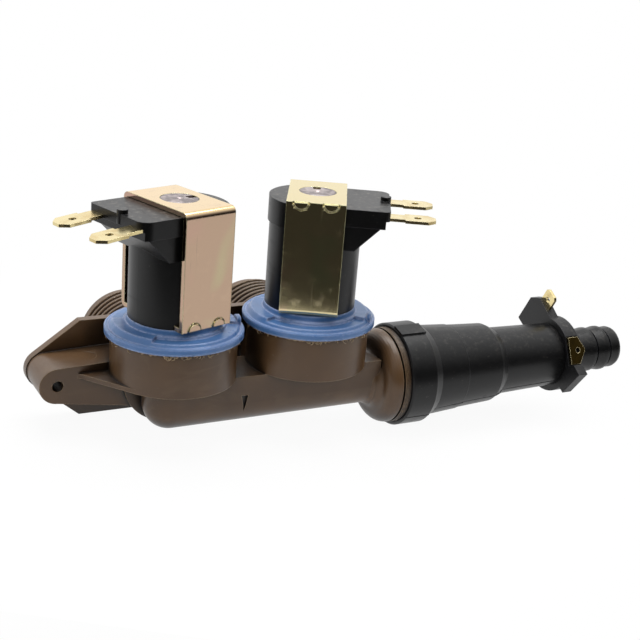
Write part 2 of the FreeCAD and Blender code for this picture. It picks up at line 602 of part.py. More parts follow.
def guide_cover(turn):
    # Domed lid welded to the chamber, in one piece with the tube that guides the armature.
    skirt_out = CHAMBER_R - CHAMBER_WALL - WELD_GAP
    skirt_in = skirt_out - LEDGE_WIDTH + WELD_GAP
    tube = TUBE_BORE_R + TUBE_WALL
    lip = COVER_R - COVER_LIP
    top = COVER_RIM + COVER_LIP_HEIGHT
    ring = COVER_RIM + COVER_RING_HEIGHT
    shoulder = lip - COVER_LIP_HEIGHT - COVER_SLOPE
    roof = COVER_RIM - COVER_ROOF
    end = TUBE_TOP - TUBE_END
    lid = turned([(skirt_out, 0), (COVER_R, 0), (COVER_R, COVER_RIM), (COVER_R - COVER_LIP_HEIGHT, top),
                  (lip, top), (lip - COVER_LIP_HEIGHT, COVER_RIM), (shoulder, ring), (COVER_BOSS_R, ring),
                  (COVER_BOSS_R - COVER_LIP_HEIGHT, COIL_SEAT), (tube, COIL_SEAT), (tube, TUBE_TOP - TUBE_NOSE),
                  (tube - TUBE_NOSE, TUBE_TOP), (0, TUBE_TOP), (0, end), (TUBE_BORE_R, end),
                  (TUBE_BORE_R, roof), (skirt_in, roof), (skirt_in, -COVER_SKIRT), (skirt_out, -COVER_SKIRT)])
    low = ring - COVER_STEP
    sector = Part.makeCylinder(COVER_R, COVER_STEP + CUT, V(0, 0, low), V(0, 0, 1), COVER_STEP_SPAN)
    sector = sector.cut(cyl(COVER_STEP_IN, COVER_STEP + CUT, (0, 0, low)))
    sector = sector.cut(turned([(lip, low - CUT), (lip, ring + 2 * CUT), (2 * COVER_R, ring + 2 * CUT),
                                (2 * COVER_R, low - CUT)]))
    for start in (COVER_STEP_START, COVER_STEP_START + 180.0):
        cut = sector.copy()
        cut.rotate(V(), V(0, 0, 1), start)
        lid = lid.cut(cut)
    lug = box(lip - LUG_T, lip, -LUG_WIDTH / 2, LUG_WIDTH / 2, COVER_RIM / 2, COVER_RIM + LUG_HEIGHT)
    corners = [e for e in lug.Edges if abs(e.Vertexes[0].Z - e.Vertexes[1].Z) < 1e-6
               and e.Vertexes[0].Z > COVER_RIM and abs(e.Vertexes[0].Y - e.Vertexes[1].Y) < 1e-6]
    lug = lug.makeFillet(LUG_T, corners)
    lug.rotate(V(), V(0, 0, 1), LUG_ANGLE)
    lid = fuse([lid, lug])
    lid.rotate(V(), V(0, 0, 1), turn)
    return lid


def diaphragm():
    # Rubber disc with a bead round its edge, a folded web and a thick middle on the seat.
    out = CHAMBER_R - CHAMBER_WALL - BEAD_EASE
    inner = out - LEDGE_WIDTH + BEAD_INSET
    low = -LEDGE_DEPTH
    web = low + WEB_RISE
    mid = (inner + DISC_R) / 2
    narrow, wide = WEB_FOLD_HALF, WEB_FOLD_HALF + WEB_FOLD_SLOPE
    under, over = web + WEB_FOLD, web + WEB_FOLD + WEB_T
    top = -SEAT_DEPTH + DISC_T
    disc = turned([(INSERT_STEM_R, -SEAT_DEPTH), (DISC_R, -SEAT_DEPTH), (DISC_R + DISC_SLOPE, web),
                   (mid - narrow, under), (mid + narrow, under), (inner - WEB_ROUND, web), (inner, low),
                   (out, low), (out, low + BEAD_T), (inner, low + BEAD_T), (inner - WEB_ROUND, web + WEB_T),
                   (mid + wide, over), (mid - wide, over), (DISC_R, top), (INSERT_STEM_R, top)])
    bleed = (SEAT_R + BLEED_PLACE + BLEED_R, 0, -LEDGE_DEPTH - CUT)
    return disc.cut(cyl(BLEED_R, LEDGE_DEPTH + CUT, bleed))


def diaphragm_insert():
    # Hard eyelet through the rubber, with the pilot nozzle that the armature closes.
    top = -SEAT_DEPTH + DISC_T
    stem = -SEAT_DEPTH - INSERT_STEM
    head = top + INSERT_HEAD
    return turned([(PILOT_R, stem), (INSERT_STEM_R, stem), (INSERT_STEM_R, top), (INSERT_R, top),
                   (INSERT_R, head - INSERT_CHAMFER), (INSERT_R - INSERT_CHAMFER, head),
                   (NOZZLE_R + NOZZLE_FOOT, head), (NOZZLE_R, head + NOZZLE_HEIGHT),
                   (PILOT_R, head + NOZZLE_HEIGHT)])


def armature():
    # Steel plunger, grooved along its sides so that water passes, with a pocket at each end.
    solid = cyl(ARMATURE_R, ARMATURE_LENGTH, (0, 0, ARMATURE_Z))
    half = ARMATURE_GROOVE_WIDTH / 2
    cuts = [cyl(ARMATURE_POCKET_R, ARMATURE_POCKET + CUT, (0, 0, ARMATURE_Z + ARMATURE_LENGTH - ARMATURE_POCKET)),
            cyl(PAD_R, PAD_T, (0, 0, ARMATURE_Z))]
    for a in (0, 90, 180, 270):
        slot = box(ARMATURE_R - ARMATURE_GROOVE, ARMATURE_R + CUT, -half, half, ARMATURE_Z - CUT,
                   ARMATURE_Z + ARMATURE_LENGTH + CUT)
        slot.rotate(V(), V(0, 0, 1), a)
        cuts.append(slot)
    return solid.cut(fuse(cuts))


def armature_pad():
    # Rubber plug pressed into the plunger, which closes the pilot nozzle.
    return cyl(PAD_R, PAD_T + PAD_PROUD, (0, 0, ARMATURE_Z - PAD_PROUD))


def armature_spring():
    # Coil spring between the plunger's pocket and the closed end of the guide tube.
    h = SPRING_TOP - SPRING_BOTTOM - 2 * SPRING_WIRE_R
    pitch = h / SPRING_TURNS
    path = Part.Wire(Part.makeHelix(pitch, h, SPRING_R))
    turn = 2 * pi / SPRING_FACETS
    section = [V(SPRING_R + SPRING_WIRE_R * cos(i * turn), 0, SPRING_WIRE_R * sin(i * turn))
               for i in range(SPRING_FACETS)]
    wire = Part.makePolygon(section + section[:1])
    coil = path.makePipeShell([wire], True, True)
    coil.translate(V(0, 0, SPRING_BOTTOM + SPRING_WIRE_R))
    return coil


def block_outline():
    # Terminal block from above, with its two outer corners rounded.
    reach, half, a, b = BLOCK_REACH, BLOCK_WIDTH / 2, BLOCK_CORNER_A, BLOCK_CORNER_B
    k = sqrt(0.5)
    near = Part.Arc(V(reach - a, -half, 0), V(reach - a + a * k, -half + a - a * k, 0), V(reach, a - half, 0))
    far = Part.Arc(V(reach, half - b, 0), V(reach - b + b * k, half - b + b * k, 0), V(reach - b, half, 0))
    edges = [Part.makeLine(V(0, -half, 0), V(reach - a, -half, 0)), near.toShape(),
             Part.makeLine(V(reach, a - half, 0), V(reach, half - b, 0)), far.toShape(),
             Part.makeLine(V(reach - b, half, 0), V(0, half, 0)), Part.makeLine(V(0, half, 0), V(0, -half, 0))]
    return Part.Wire(edges)


def coil_case():
    # Moulding round the winding, with flats for the yoke, a band at the top and a terminal block.
    h = COIL_TOP - COIL_SEAT
    body = cyl(COIL_R, h, (0, 0, COIL_SEAT))
    band = cyl(COIL_BAND_R, COIL_BAND, (0, 0, COIL_TOP - COIL_BAND))
    low = COIL_TOP - BLOCK_T
    block = Part.Face(block_outline()).extrude(V(0, 0, BLOCK_T))
    block.translate(V(0, 0, low))
    end = BLOCK_REACH - BLOCK_UNDERCUT
    half = BLOCK_WIDTH / 2
    block = block.cut(box(end, BLOCK_REACH + CUT, -half - CUT, half + CUT, low - CUT, tab_level() - TAB_T / 2))
    half -= GUSSET_INSET
    root, foot = low + GUSSET_SINK, low - GUSSET_DROP
    gusset = prism([(0, -half, root), (end - GUSSET_END, -half, root), (COIL_R - GUSSET_FOOT, -half, foot),
                    (0, -half, foot)], (0, 2 * half, 0))
    latch = cyl(LATCH_R, LATCH_DEPTH + LATCH_RISE, (LATCH_X, LATCH_Y, COIL_TOP - LATCH_DEPTH))
    shell = fuse([body, band, block, gusset, latch])
    # The yoke's legs lie against flats on both sides.
    leg = YOKE_WIDTH / 2 + COIL_PLAY
    for y0, y1 in ((-YOKE_DEPTH, -COIL_HALF_DEPTH), (COIL_HALF_DEPTH, YOKE_DEPTH)):
        shell = shell.cut(box(-leg, leg, y0, y1, 0, COIL_TOP + CUT))
    room = cyl(BOBBIN_FLANGE_R, COIL_TOP - COIL_BOTTOM - 2 * BOBBIN_END, (0, 0, COIL_BOTTOM + BOBBIN_END))
    bore = cyl(BOBBIN_BORE_R + BOBBIN_WALL, COIL_TOP + CUT)
    # The yoke's lower leg lies in a channel across the bottom.
    channel = box(-leg, leg, -YOKE_DEPTH, YOKE_DEPTH, 0, COIL_BOTTOM)
    slots = [tab_cavity(side) for side in (-1, 1)]
    return shell.cut(fuse([room, bore, channel])).cut(fuse(slots))


def tab_level():
    return COIL_TOP - TAB_DROP


def tab_cavity(side):
    # Slot in the block that each terminal is moulded into.
    y, z = side * TAB_PITCH / 2, tab_level()
    return box(TAB_ROOT, BLOCK_REACH + CUT, y - TAB_NECK / 2, y + TAB_NECK / 2, z - TAB_T / 2, z + TAB_T / 2)


def bobbin():
    # Plastic reel that the wire is wound on.
    r = BOBBIN_BORE_R + BOBBIN_WALL
    low, high = COIL_BOTTOM + BOBBIN_END, COIL_TOP - BOBBIN_END
    f = BOBBIN_FLANGE
    return turned([(BOBBIN_BORE_R, COIL_BOTTOM), (r, COIL_BOTTOM), (r, low), (BOBBIN_FLANGE_R, low),
                   (BOBBIN_FLANGE_R, low + f), (r, low + f), (r, high - f), (BOBBIN_FLANGE_R, high - f),
                   (BOBBIN_FLANGE_R, high), (r, high), (r, COIL_TOP), (BOBBIN_BORE_R, COIL_TOP)])


def winding():
    r = BOBBIN_BORE_R + BOBBIN_WALL
    low = COIL_BOTTOM + BOBBIN_END + BOBBIN_FLANGE
    h = COIL_TOP - COIL_BOTTOM - 2 * (BOBBIN_END + BOBBIN_FLANGE)
    return cyl(WINDING_R, h, (0, 0, low)).cut(cyl(r, h, (0, 0, low)))


def core_plug(turn):
    # Fixed iron core, pressed into the yoke's round hole; notched and centred on top.
    low, c = TUBE_TOP + CORE_GAP, CORE_CHAMFER
    shape = turned([(0, low), (CORE_R - c, low), (CORE_R, low + c), (CORE_R, YOKE_TOP - c / 2),
                    (CORE_R - c / 2, YOKE_TOP), (CORE_DIMPLE_R, YOKE_TOP), (0, YOKE_TOP - CORE_DIMPLE)])
    notch = box(CORE_R - CORE_SLOT_DEPTH, CORE_R + CUT, -CORE_SLOT / 2, CORE_SLOT / 2, YOKE_TOP - YOKE_T,
                YOKE_TOP + CUT)
    notch.rotate(V(), V(0, 0, 1), turn)
    return shape.cut(notch)


def yoke(flip):
    # Strip bent into a closed frame. At its joint two lobes of one leg are staked into the other.
    w, d, h, t = YOKE_WIDTH, YOKE_DEPTH, YOKE_HEIGHT, YOKE_T
    side = -1 if flip else 1
    outer = Part.Face(rounded_rect(d, h, YOKE_BEND_R)).extrude(V(0, 0, w))
    # The joint's corner is square: one leg butts against the other.
    edge = -h / 2 if not flip else h / 2
    corner = box(min(0, side * d / 2), max(0, side * d / 2), min(0, edge), max(0, edge), 0, w)
    outer = outer.fuse(corner).removeSplitter()
    inner = Part.Face(rounded_rect(d - 2 * t, h - 2 * t, YOKE_BEND_R - t)).extrude(V(0, 0, w))
    frame = outer.cut(inner)
    frame.rotate(V(), V(1, 0, 0), 90)
    frame.rotate(V(), V(0, 0, 1), 90)
    frame.translate(V(-w / 2, 0, COIL_SEAT + h / 2))
    hole_top = cyl(CORE_R, 2 * t, (0, 0, YOKE_TOP - 1.5 * t))
    hole_low = cyl(TUBE_BORE_R + TUBE_WALL + YOKE_FIT, 2 * t, (0, 0, COIL_SEAT - t / 2))
    frame = frame.cut(fuse([hole_top, hole_low]))
    y = side * d / 2
    z = YOKE_TOP - LOBE_RISE if flip else COIL_SEAT + LOBE_RISE
    clip = box(-w, w, -d, d, COIL_SEAT + LOBE_CLIP, YOKE_TOP - LOBE_CLIP)
    lobes = []
    for x in (-w / 4, w / 4):
        groove = cyl(LOBE_R + LOBE_GROOVE, t / 2, (x, y - side * t / 2, z), (0, side, 0))
        lobe = cyl(LOBE_R, t / 2 + LOBE_PROUD, (x, y - side * t / 2, z), (0, side, 0))
        frame = frame.cut(groove)
        lobes.append(lobe.common(clip))
    return fuse([frame] + lobes)


def coil_tab(side, droop):
    # Flat terminal with a narrow neck, chamfered tip and a latching hole.
    y, z = side * TAB_PITCH / 2, tab_level()
    w, n, c = TAB_WIDTH / 2, TAB_NECK / 2, TAB_CHAMFER
    blade = prism([(BLOCK_REACH, -n, 0), (TAB_SHOULDER, -n, 0), (TAB_SHOULDER, -w, 0), (TAB_TIP - c, -w, 0),
                   (TAB_TIP, -w + c, 0), (TAB_TIP, w - c, 0), (TAB_TIP - c, w, 0), (TAB_SHOULDER, w, 0),
                   (TAB_SHOULDER, n, 0), (BLOCK_REACH, n, 0)], (0, 0, TAB_T))
    blade = blade.cut(cyl(TAB_HOLE_R, TAB_T + 2 * CUT, (TAB_TIP - TAB_HOLE, 0, -CUT)))
    blade.translate(V(0, 0, -TAB_T / 2))
    blade.rotate(V(BLOCK_REACH, 0, 0), V(0, 1, 0), droop)
    root = box(TAB_ROOT, BLOCK_REACH + TAB_LAP, -n, n, -TAB_T / 2, TAB_T / 2)
    knee = cyl(TAB_T / 2, TAB_NECK, (BLOCK_REACH, -n, 0), (0, 1, 0))
    shape = fuse([root, blade, knee]) if droop else fuse([root, blade])
    shape.translate(V(0, y, z))
    return shape


def inlet_screen(x):
    # Plastic strainer: a flange on a slotted cup that points into the valve.
    r, end = SCREEN_R, SCREEN_SHORT - SCREEN_POCKET
    wide = r - SCREEN_STEP
    narrow = wide - SCREEN_TAPER
    shoulder = -SCREEN_FLANGE - SCREEN_NECK
    cup = turned([(r - SCREEN_MOUTH, 0), (r, 0), (r, -SCREEN_FLANGE), (wide, shoulder), (narrow, end), (0, end),
                  (0, end + SCREEN_WALL), (narrow - SCREEN_WALL, end + SCREEN_WALL),
                  (wide - SCREEN_WALL, shoulder), (wide - SCREEN_WALL, -SCREEN_WALL)])
    slots = []
    half = SCREEN_SLOT_WIDTH / 2
    for i in range(SCREEN_SLOTS):
        slot = box(r / 2, r + CUT, -half, half, end + SCREEN_SLOT_END, -SCREEN_SLOT_START)
        slot.rotate(V(), V(0, 0, 1), i * 360.0 / SCREEN_SLOTS)
        slots.append(slot)
    reach, half = SCREEN_GAP_LENGTH / 2, SCREEN_GAP / 2
    for i in (-1, 0, 1):
        a = i * SCREEN_GAP_PITCH
        slots.append(box(-reach, reach, a - half, a + half, end - CUT, end + SCREEN_WALL + CUT))
    cup = cup.cut(fuse(slots))
    cup.rotate(V(), V(1, 0, 0), -90)
    cup.translate(V(x, INLET_LENGTH - SCREEN_FLANGE_DROP, 0))
    return cup


def flow_washer(x):
    # Rubber flow regulator: a dished disc with one hole.
    r, hole, t = WASHER_R - WASHER_EASE, WASHER_HOLE_R, WASHER_T
    disc = turned([(hole, 0), (r, 0), (r, -t), (WASHER_DISH_R, -t), (hole, -t + WASHER_DISH)])
    disc.rotate(V(), V(1, 0, 0), -90)
    disc.translate(V(x, INLET_LENGTH - SCREEN_POCKET, 0))
    return disc


def outlet_seal():
    # O-ring, squeezed between the groove on the spigot and the housing's socket.
    wire = (SEAL_GROOVE + SOCKET_FIT) / 2 - SEAL_EASE
    r = SPIGOT_R - SEAL_GROOVE / 2 + SOCKET_FIT / 2
    turn = 2 * pi / SEAL_FACETS
    section = [(wire * cos(i * turn), r + wire * sin(i * turn)) for i in range(SEAL_FACETS)]
    return turned_x(section, RIGHT_X + FLANGE_FACE + SEAL_INSET, AXIS_Y, -OUTLET_DROP)


def barb_profile():
    # Hose nozzle: three bands that widen towards their ends, with narrow grooves between them.
    pts = [(BARB_X, STUB_R), (BARB_X + BARB_LEAD, BARB_ROOT_R)]
    for i in range(BARB_GROOVES):
        x = BARB_X + BARB_NECK + i * BARB_PITCH
        pts += [(x - BARB_CREST, BARB_R), (x, BARB_R), (x + BARB_DROP, BARB_VALLEY_R),
                (x + BARB_GROOVE, BARB_VALLEY_R), (x + BARB_GROOVE + BARB_RISE, BARB_ROOT_R)]
    return pts + [(BARB_END - BARB_NOSE, BARB_TIP_R), (BARB_END - BARB_NOSE_MIDDLE, BARB_TIP_R - BARB_NOSE_EASE),
                  (BARB_END, BARB_TIP_R - BARB_NOSE_DROP)]


def outlet_housing():
    # One long moulding: collar over the flange, stepped mixing barrel, pipe and hose nozzle.
    collar_end = COLLAR_X + COLLAR_LENGTH
    outer = [(COLLAR_X, COLLAR_R - COLLAR_CHAMFER), (COLLAR_X + COLLAR_CHAMFER, COLLAR_R),
             (collar_end - COLLAR_EDGE, COLLAR_R), (collar_end, COLLAR_R - COLLAR_EDGE_DROP),
             (BARREL_X, BARREL_R0), (MIDDLE_X, BARREL_R1), (MIDDLE_X + MIDDLE_STEP, MIDDLE_R0),
             (SHOULDER_X - SHOULDER_LEAD, MIDDLE_R1), (SHOULDER_X + SHOULDER_EDGE, MIDDLE_R1 - SHOULDER_EDGE),
             (PIPE_X, PIPE_R0), (STUB_X, PIPE_R1), (STUB_X, STUB_R)]
    rim = BELL_R + COLLAR_FIT
    seat = FLANGE_FACE + FLANGE_GAP
    socket = SPIGOT_R + SOCKET_FIT
    lip = socket - SOCKET_LIP
    socket_end = FLANGE_FACE + SPIGOT_LENGTH + SPIGOT_GAP
    room = socket_end + SOCKET_FLOOR
    inside = [(BARB_END, BARB_BORE_R), (STUB_X, BARB_BORE_R), (STUB_X - PIPE_BORE_END, PIPE_BORE_R),
              (PIPE_X + PIPE_BORE_START, PIPE_BORE_R), (SHOULDER_X, MIDDLE_R1 - HOUSING_WALL),
              (room, BARREL_R0 - HOUSING_WALL - SOCKET_EASE), (room, lip), (socket_end, lip),
              (socket_end, socket), (seat, socket), (seat, rim), (COLLAR_X, rim)]
    body = turned_x(outer + barb_profile() + inside, RIGHT_X, AXIS_Y, -OUTLET_DROP)
    z = -OUTLET_DROP
    # Raised key on the collar
    x1 = RIGHT_X + collar_end + KEY_PAST
    top = COLLAR_R + KEY_RISE
    key = box(x1 - KEY_LENGTH, x1, -KEY_WIDTH / 2, KEY_WIDTH / 2, BARREL_R0, top)
    key = key.cut(cyl(rim, KEY_LENGTH, (x1 - KEY_LENGTH, 0, 0), (1, 0, 0)))
    key.rotate(V(), V(1, 0, 0), KEY_ANGLE)
    key.translate(V(0, AXIS_Y, z))
    hole = cyl(PROBE_R + PROBE_FIT, STUB_R + CUT, probe_point(0.0), sensor_way())
    return fuse([body, key]).cut(hole)


def sensor_way():
    # Unit vector across the pipe, along the probe.
    a = radians(SENSOR_ANGLE)
    return (0, cos(a), sin(a))


def probe_point(reach):
    # Point on the probe's axis at this distance from the pipe's axis.
    x = RIGHT_X + STUB_X + CARRIER_GAP + HUB_LENGTH / 2
    _, y, z = sensor_way()
    return (x, AXIS_Y + y * reach, -OUTLET_DROP + z * reach)


def carried(shape):
    # From the carrier's frame, X along the pipe and Y, Z across it, to its place.
    shape.translate(V(RIGHT_X + STUB_X + CARRIER_GAP, AXIS_Y, -OUTLET_DROP))
    return shape


def sensor_tab_upper():
    # Flat terminal that stands on the bar's long edge.
    t, c = SENSOR_TAB_T, UPPER_TAB_CHAMFER
    y0, y1 = UPPER_TAB_PLACE - UPPER_TAB_WIDTH / 2, UPPER_TAB_PLACE + UPPER_TAB_WIDTH / 2
    x = (BAR_T - t) / 2
    blade = prism([(x, y0, UPPER_TAB_ROOT), (x, y0, UPPER_TAB_TIP - c), (x, y0 + c, UPPER_TAB_TIP),
                   (x, y1 - c, UPPER_TAB_TIP), (x, y1, UPPER_TAB_TIP - c), (x, y1, UPPER_TAB_ROOT)], (t, 0, 0))
    blade = blade.cut(cyl(SENSOR_TAB_HOLE_R, BAR_T, (0, UPPER_TAB_PLACE, UPPER_TAB_HOLE), (1, 0, 0)))
    blade.rotate(V(), V(1, 0, 0), BAR_ANGLE)
    return blade


def sensor_tab_lower():
    # Terminal bent over the flat on the carrier, pointed along the pipe.
    t, low, back = SENSOR_TAB_T, LOWER_TAB_FLOOR, LOWER_TAB_BACK
    half, point, leg = LOWER_TAB_WIDTH / 2, LOWER_TAB_POINT / 2, LOWER_TAB_LEG / 2
    blade = prism([(back, low, -half), (LOWER_TAB_SHOULDER, low, -half), (LOWER_TAB_TIP, low, -point),
                   (LOWER_TAB_TIP, low, point), (LOWER_TAB_SHOULDER, low, half), (back, low, half)], (0, t, 0))
    blade = blade.cut(cyl(SENSOR_TAB_HOLE_R, 3 * t, (LOWER_TAB_TIP - LOWER_TAB_HOLE, low - t, 0), (0, 1, 0)))
    blade = blade.fuse(box(back, back + t, LOWER_TAB_LEG_END, low + t, -leg, leg)).removeSplitter()
    blade.rotate(V(), V(1, 0, 0), LOWER_TAB_ANGLE)
    return blade


def sensor_carrier():
    front, back, low = -BAR_FRONT, BAR_BACK, -BAR_BELOW
    bar = prism([(0, front + BAR_TAPER, low), (0, back, low), (0, back, BAR_ABOVE - BAR_CHAMFER),
                 (0, back - BAR_CHAMFER, BAR_ABOVE), (0, front, BAR_ABOVE_FRONT)], (BAR_T, 0, 0))
    bar.rotate(V(), V(1, 0, 0), BAR_ANGLE)
    hub = cyl(HUB_R, HUB_LENGTH, (0, 0, 0), (1, 0, 0))
    shape = fuse([bar, hub]).cut(cyl(STUB_R + CARRIER_FIT, HUB_LENGTH + 2 * CUT, (-CUT, 0, 0), (1, 0, 0)))
    # Flat that the lower terminal lies on
    half = LOWER_TAB_WIDTH / 2 + LOWER_TAB_EASE
    flat = box(-CUT, HUB_LENGTH + CUT, LOWER_TAB_FLOOR, BAR_BACK + CUT, -half, half)
    flat.rotate(V(), V(1, 0, 0), LOWER_TAB_ANGLE)
    shape = carried(shape.cut(flat))
    hole = cyl(PROBE_R, PROBE_TOP + PROBE_SEAT, probe_point(0.0), sensor_way())
    return shape.cut(fuse([hole, carried(sensor_tab_upper()), carried(sensor_tab_lower())]))


def thermistor():
    # Sealed probe that reaches through the pipe's wall into the water.
    way = sensor_way()
    probe = cyl(PROBE_R, PROBE_TOP - PROBE_TIP - PROBE_R, probe_point(PROBE_TIP + PROBE_R), way)
    return fuse([probe, Part.makeSphere(PROBE_R, V(*probe_point(PROBE_TIP + PROBE_R)))])


def save(shape, name):
    if shape.ShapeType == "Compound" and len(shape.Solids) == 1:
        shape = shape.Solids[0]
    shape.exportStep(f"parts/{name}.step")
    print(name, len(shape.Solids), round(shape.Volume, 1), shape.isValid())


def main():
    os.makedirs("parts", exist_ok=True)
    save(valve_body(), "valve_body")
    save(outlet_housing(), "outlet_housing")
    save(outlet_seal(), "outlet_seal")
    save(sensor_carrier(), "sensor_carrier")
    save(thermistor(), "thermistor")
    save(carried(sensor_tab_upper()), "sensor_tab_upper")
    save(carried(sensor_tab_lower()), "sensor_tab_lower")
    for i, x in enumerate(CHAMBERS):
        n, yaw = i + 1, YAWS[i]
        save(placed(guide_cover(COVER_TURNS[i]), x), f"guide_cover_{n}")
        save(placed(diaphragm(), x), f"diaphragm_{n}")
        save(placed(diaphragm_insert(), x), f"diaphragm_insert_{n}")
        save(placed(armature(), x), f"armature_{n}")
        save(placed(armature_pad(), x), f"armature_pad_{n}")
        save(placed(armature_spring(), x), f"armature_spring_{n}")
        save(placed(coil_case(), x, yaw), f"coil_case_{n}")
        save(placed(bobbin(), x, yaw), f"bobbin_{n}")
        save(placed(winding(), x, yaw), f"winding_{n}")
        save(placed(core_plug(CORE_TURNS[i]), x), f"core_plug_{n}")
        save(placed(yoke(i == 1), x, yaw), f"yoke_{n}")
        for side, hand in ((-1, "a"), (1, "b")):
            save(placed(coil_tab(side, DROOPS[i]), x, yaw), f"coil_tab_{n}{hand}")
        save(inlet_screen(x), f"inlet_screen_{n}")
        save(flow_washer(x), f"flow_washer_{n}")


main()
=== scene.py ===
import json
import random
from math import cos, pi, radians, sin, sqrt, tau

import bmesh
import bpy
from mathutils import Matrix, Vector, noise


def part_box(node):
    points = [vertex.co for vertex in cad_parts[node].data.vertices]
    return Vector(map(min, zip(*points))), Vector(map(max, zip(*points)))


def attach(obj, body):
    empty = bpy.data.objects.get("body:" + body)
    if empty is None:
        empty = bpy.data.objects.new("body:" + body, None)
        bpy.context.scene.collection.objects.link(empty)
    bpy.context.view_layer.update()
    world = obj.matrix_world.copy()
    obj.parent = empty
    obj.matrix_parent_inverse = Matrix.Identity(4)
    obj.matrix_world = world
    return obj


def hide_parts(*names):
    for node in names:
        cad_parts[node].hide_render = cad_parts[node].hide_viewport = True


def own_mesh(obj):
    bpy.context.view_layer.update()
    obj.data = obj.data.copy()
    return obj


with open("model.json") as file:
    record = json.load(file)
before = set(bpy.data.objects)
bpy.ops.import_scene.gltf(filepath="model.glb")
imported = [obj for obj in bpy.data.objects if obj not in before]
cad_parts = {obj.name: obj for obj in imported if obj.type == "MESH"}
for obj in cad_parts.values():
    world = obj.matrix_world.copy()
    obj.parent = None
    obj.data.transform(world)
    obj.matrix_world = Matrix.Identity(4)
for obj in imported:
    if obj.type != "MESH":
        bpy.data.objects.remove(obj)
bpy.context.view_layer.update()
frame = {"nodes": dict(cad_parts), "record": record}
mm = 0.001

print("stage: frame loaded, with", len(frame["nodes"]), "nodes")


class Wire:
    # A socket that can be added, multiplied and so on; each step adds a Math node.
    def __init__(self, bench, socket):
        self.bench, self.socket = bench, socket

    def maths(self, operation, other, turned=False):
        pair = {0: other, 1: self} if turned else {0: self, 1: other}
        return self.bench.node("ShaderNodeMath", {"operation": operation}, pair)

    def __add__(self, other):
        return self.maths("ADD", other)

    def __sub__(self, other):
        return self.maths("SUBTRACT", other)

    def __rsub__(self, other):
        return self.maths("SUBTRACT", other, True)

    def __mul__(self, other):
        return self.maths("MULTIPLY", other)

    __radd__ = __add__

    def between(self, low, high):
        # 0 at low, 1 at high, held at both ends.
        return self.bench.node("ShaderNodeMapRange", {"clamp": True, "interpolation_type": "SMOOTHSTEP"},
                               {"Value": self, "From Min": low, "From Max": high})


class Bench:
    # One material's node tree, with the few things that every finish here needs.
    def __init__(self, name, tree=None):
        if tree is None:
            self.material = bpy.data.materials.new(name)
            self.material.use_nodes = True
            tree = self.material.node_tree
        self.tree = tree
        self.shader = next((n for n in tree.nodes if n.type == "BSDF_PRINCIPLED"), None)

    def node(self, kind, settings=None, sockets=None, out=0):
        made = self.tree.nodes.new(kind)
        for key, value in (settings or {}).items():
            if key == "stops":
                ramp = made.color_ramp
                while len(ramp.elements) < len(value):
                    ramp.elements.new(0.5)
                for element, (place, colour) in zip(ramp.elements, value):
                    element.position, element.color = place, (*colour, 1)
            else:
                setattr(made, key, value)
        for key, value in (sockets or {}).items():
            self.feed(made.inputs[key], value)
        return Wire(self, made.outputs[out])

    def feed(self, socket, value):
        if isinstance(value, Wire):
            self.tree.links.new(value.socket, socket)
        elif socket.type == "RGBA":
            socket.default_value = (*value[:3], 1)
        else:
            socket.default_value = value

    def finish(self, sockets):
        for key, value in sockets.items():
            self.feed(self.shader.inputs[key], value)

    def place(self, stretch=(1, 1, 1), turn=(0, 0, 0)):
        where = self.node("ShaderNodeTexCoord", out="Object")
        return self.node("ShaderNodeMapping", {}, {"Vector": where, "Scale": stretch, "Rotation": turn})

    def speckle(self, size, detail=3.0, rough=0.55, where=None, warp=0.0):
        # Noise whose grains are about this many millimetres across.
        where = where or self.place()
        return self.node("ShaderNodeTexNoise", {}, {"Vector": where, "Scale": 1000 / size, "Detail": detail,
                                                   "Roughness": rough, "Distortion": warp})

    def blend(self, share, first, second):
        # The Mix node's colour inputs are its seventh and eighth, and its colour output is the third.
        return self.node("ShaderNodeMix", {"data_type": "RGBA", "blend_type": "MIX", "clamp_factor": True},
                         {"Factor": share, 6: first, 7: second}, out=2)

    def flatNormal(self):
        return self.node("ShaderNodeNewGeometry", out="Normal")

    def softEdge(self, radius):
        # Rounded normals near sharp edges, and a mask that is 1 on the edges.
        soft = self.node("ShaderNodeBevel", {"samples": 4}, {"Radius": radius * mm})
        same = self.node("ShaderNodeVectorMath", {"operation": "DOT_PRODUCT"}, {0: soft, 1: self.flatNormal()},
                         out="Value")
        return soft, (1 - same).between(0.02, 0.22)

    def openness(self, reach):
        # 1 in the open, and less where other surfaces stand within this many millimetres.
        return self.node("ShaderNodeAmbientOcclusion", {"samples": 8}, {"Distance": reach * mm}, out="AO")

    def facingUp(self):
        return self.node("ShaderNodeSeparateXYZ", {}, {0: self.flatNormal()}, out="Z")

    def bump(self, height, depth, normal=None):
        sockets = {"Height": height, "Distance": depth * mm, "Strength": 1.0}
        if normal:
            sockets["Normal"] = normal
        return self.node("ShaderNodeBump", {}, sockets)


def shade(code):
    # Linear colour from a colour picker's six digits.
    parts = [int(code[i:i + 2], 16) / 255 for i in (0, 2, 4)]
    return tuple(c / 12.92 if c <= 0.04045 else ((c + 0.055) / 1.055) ** 2.4 for c in parts)


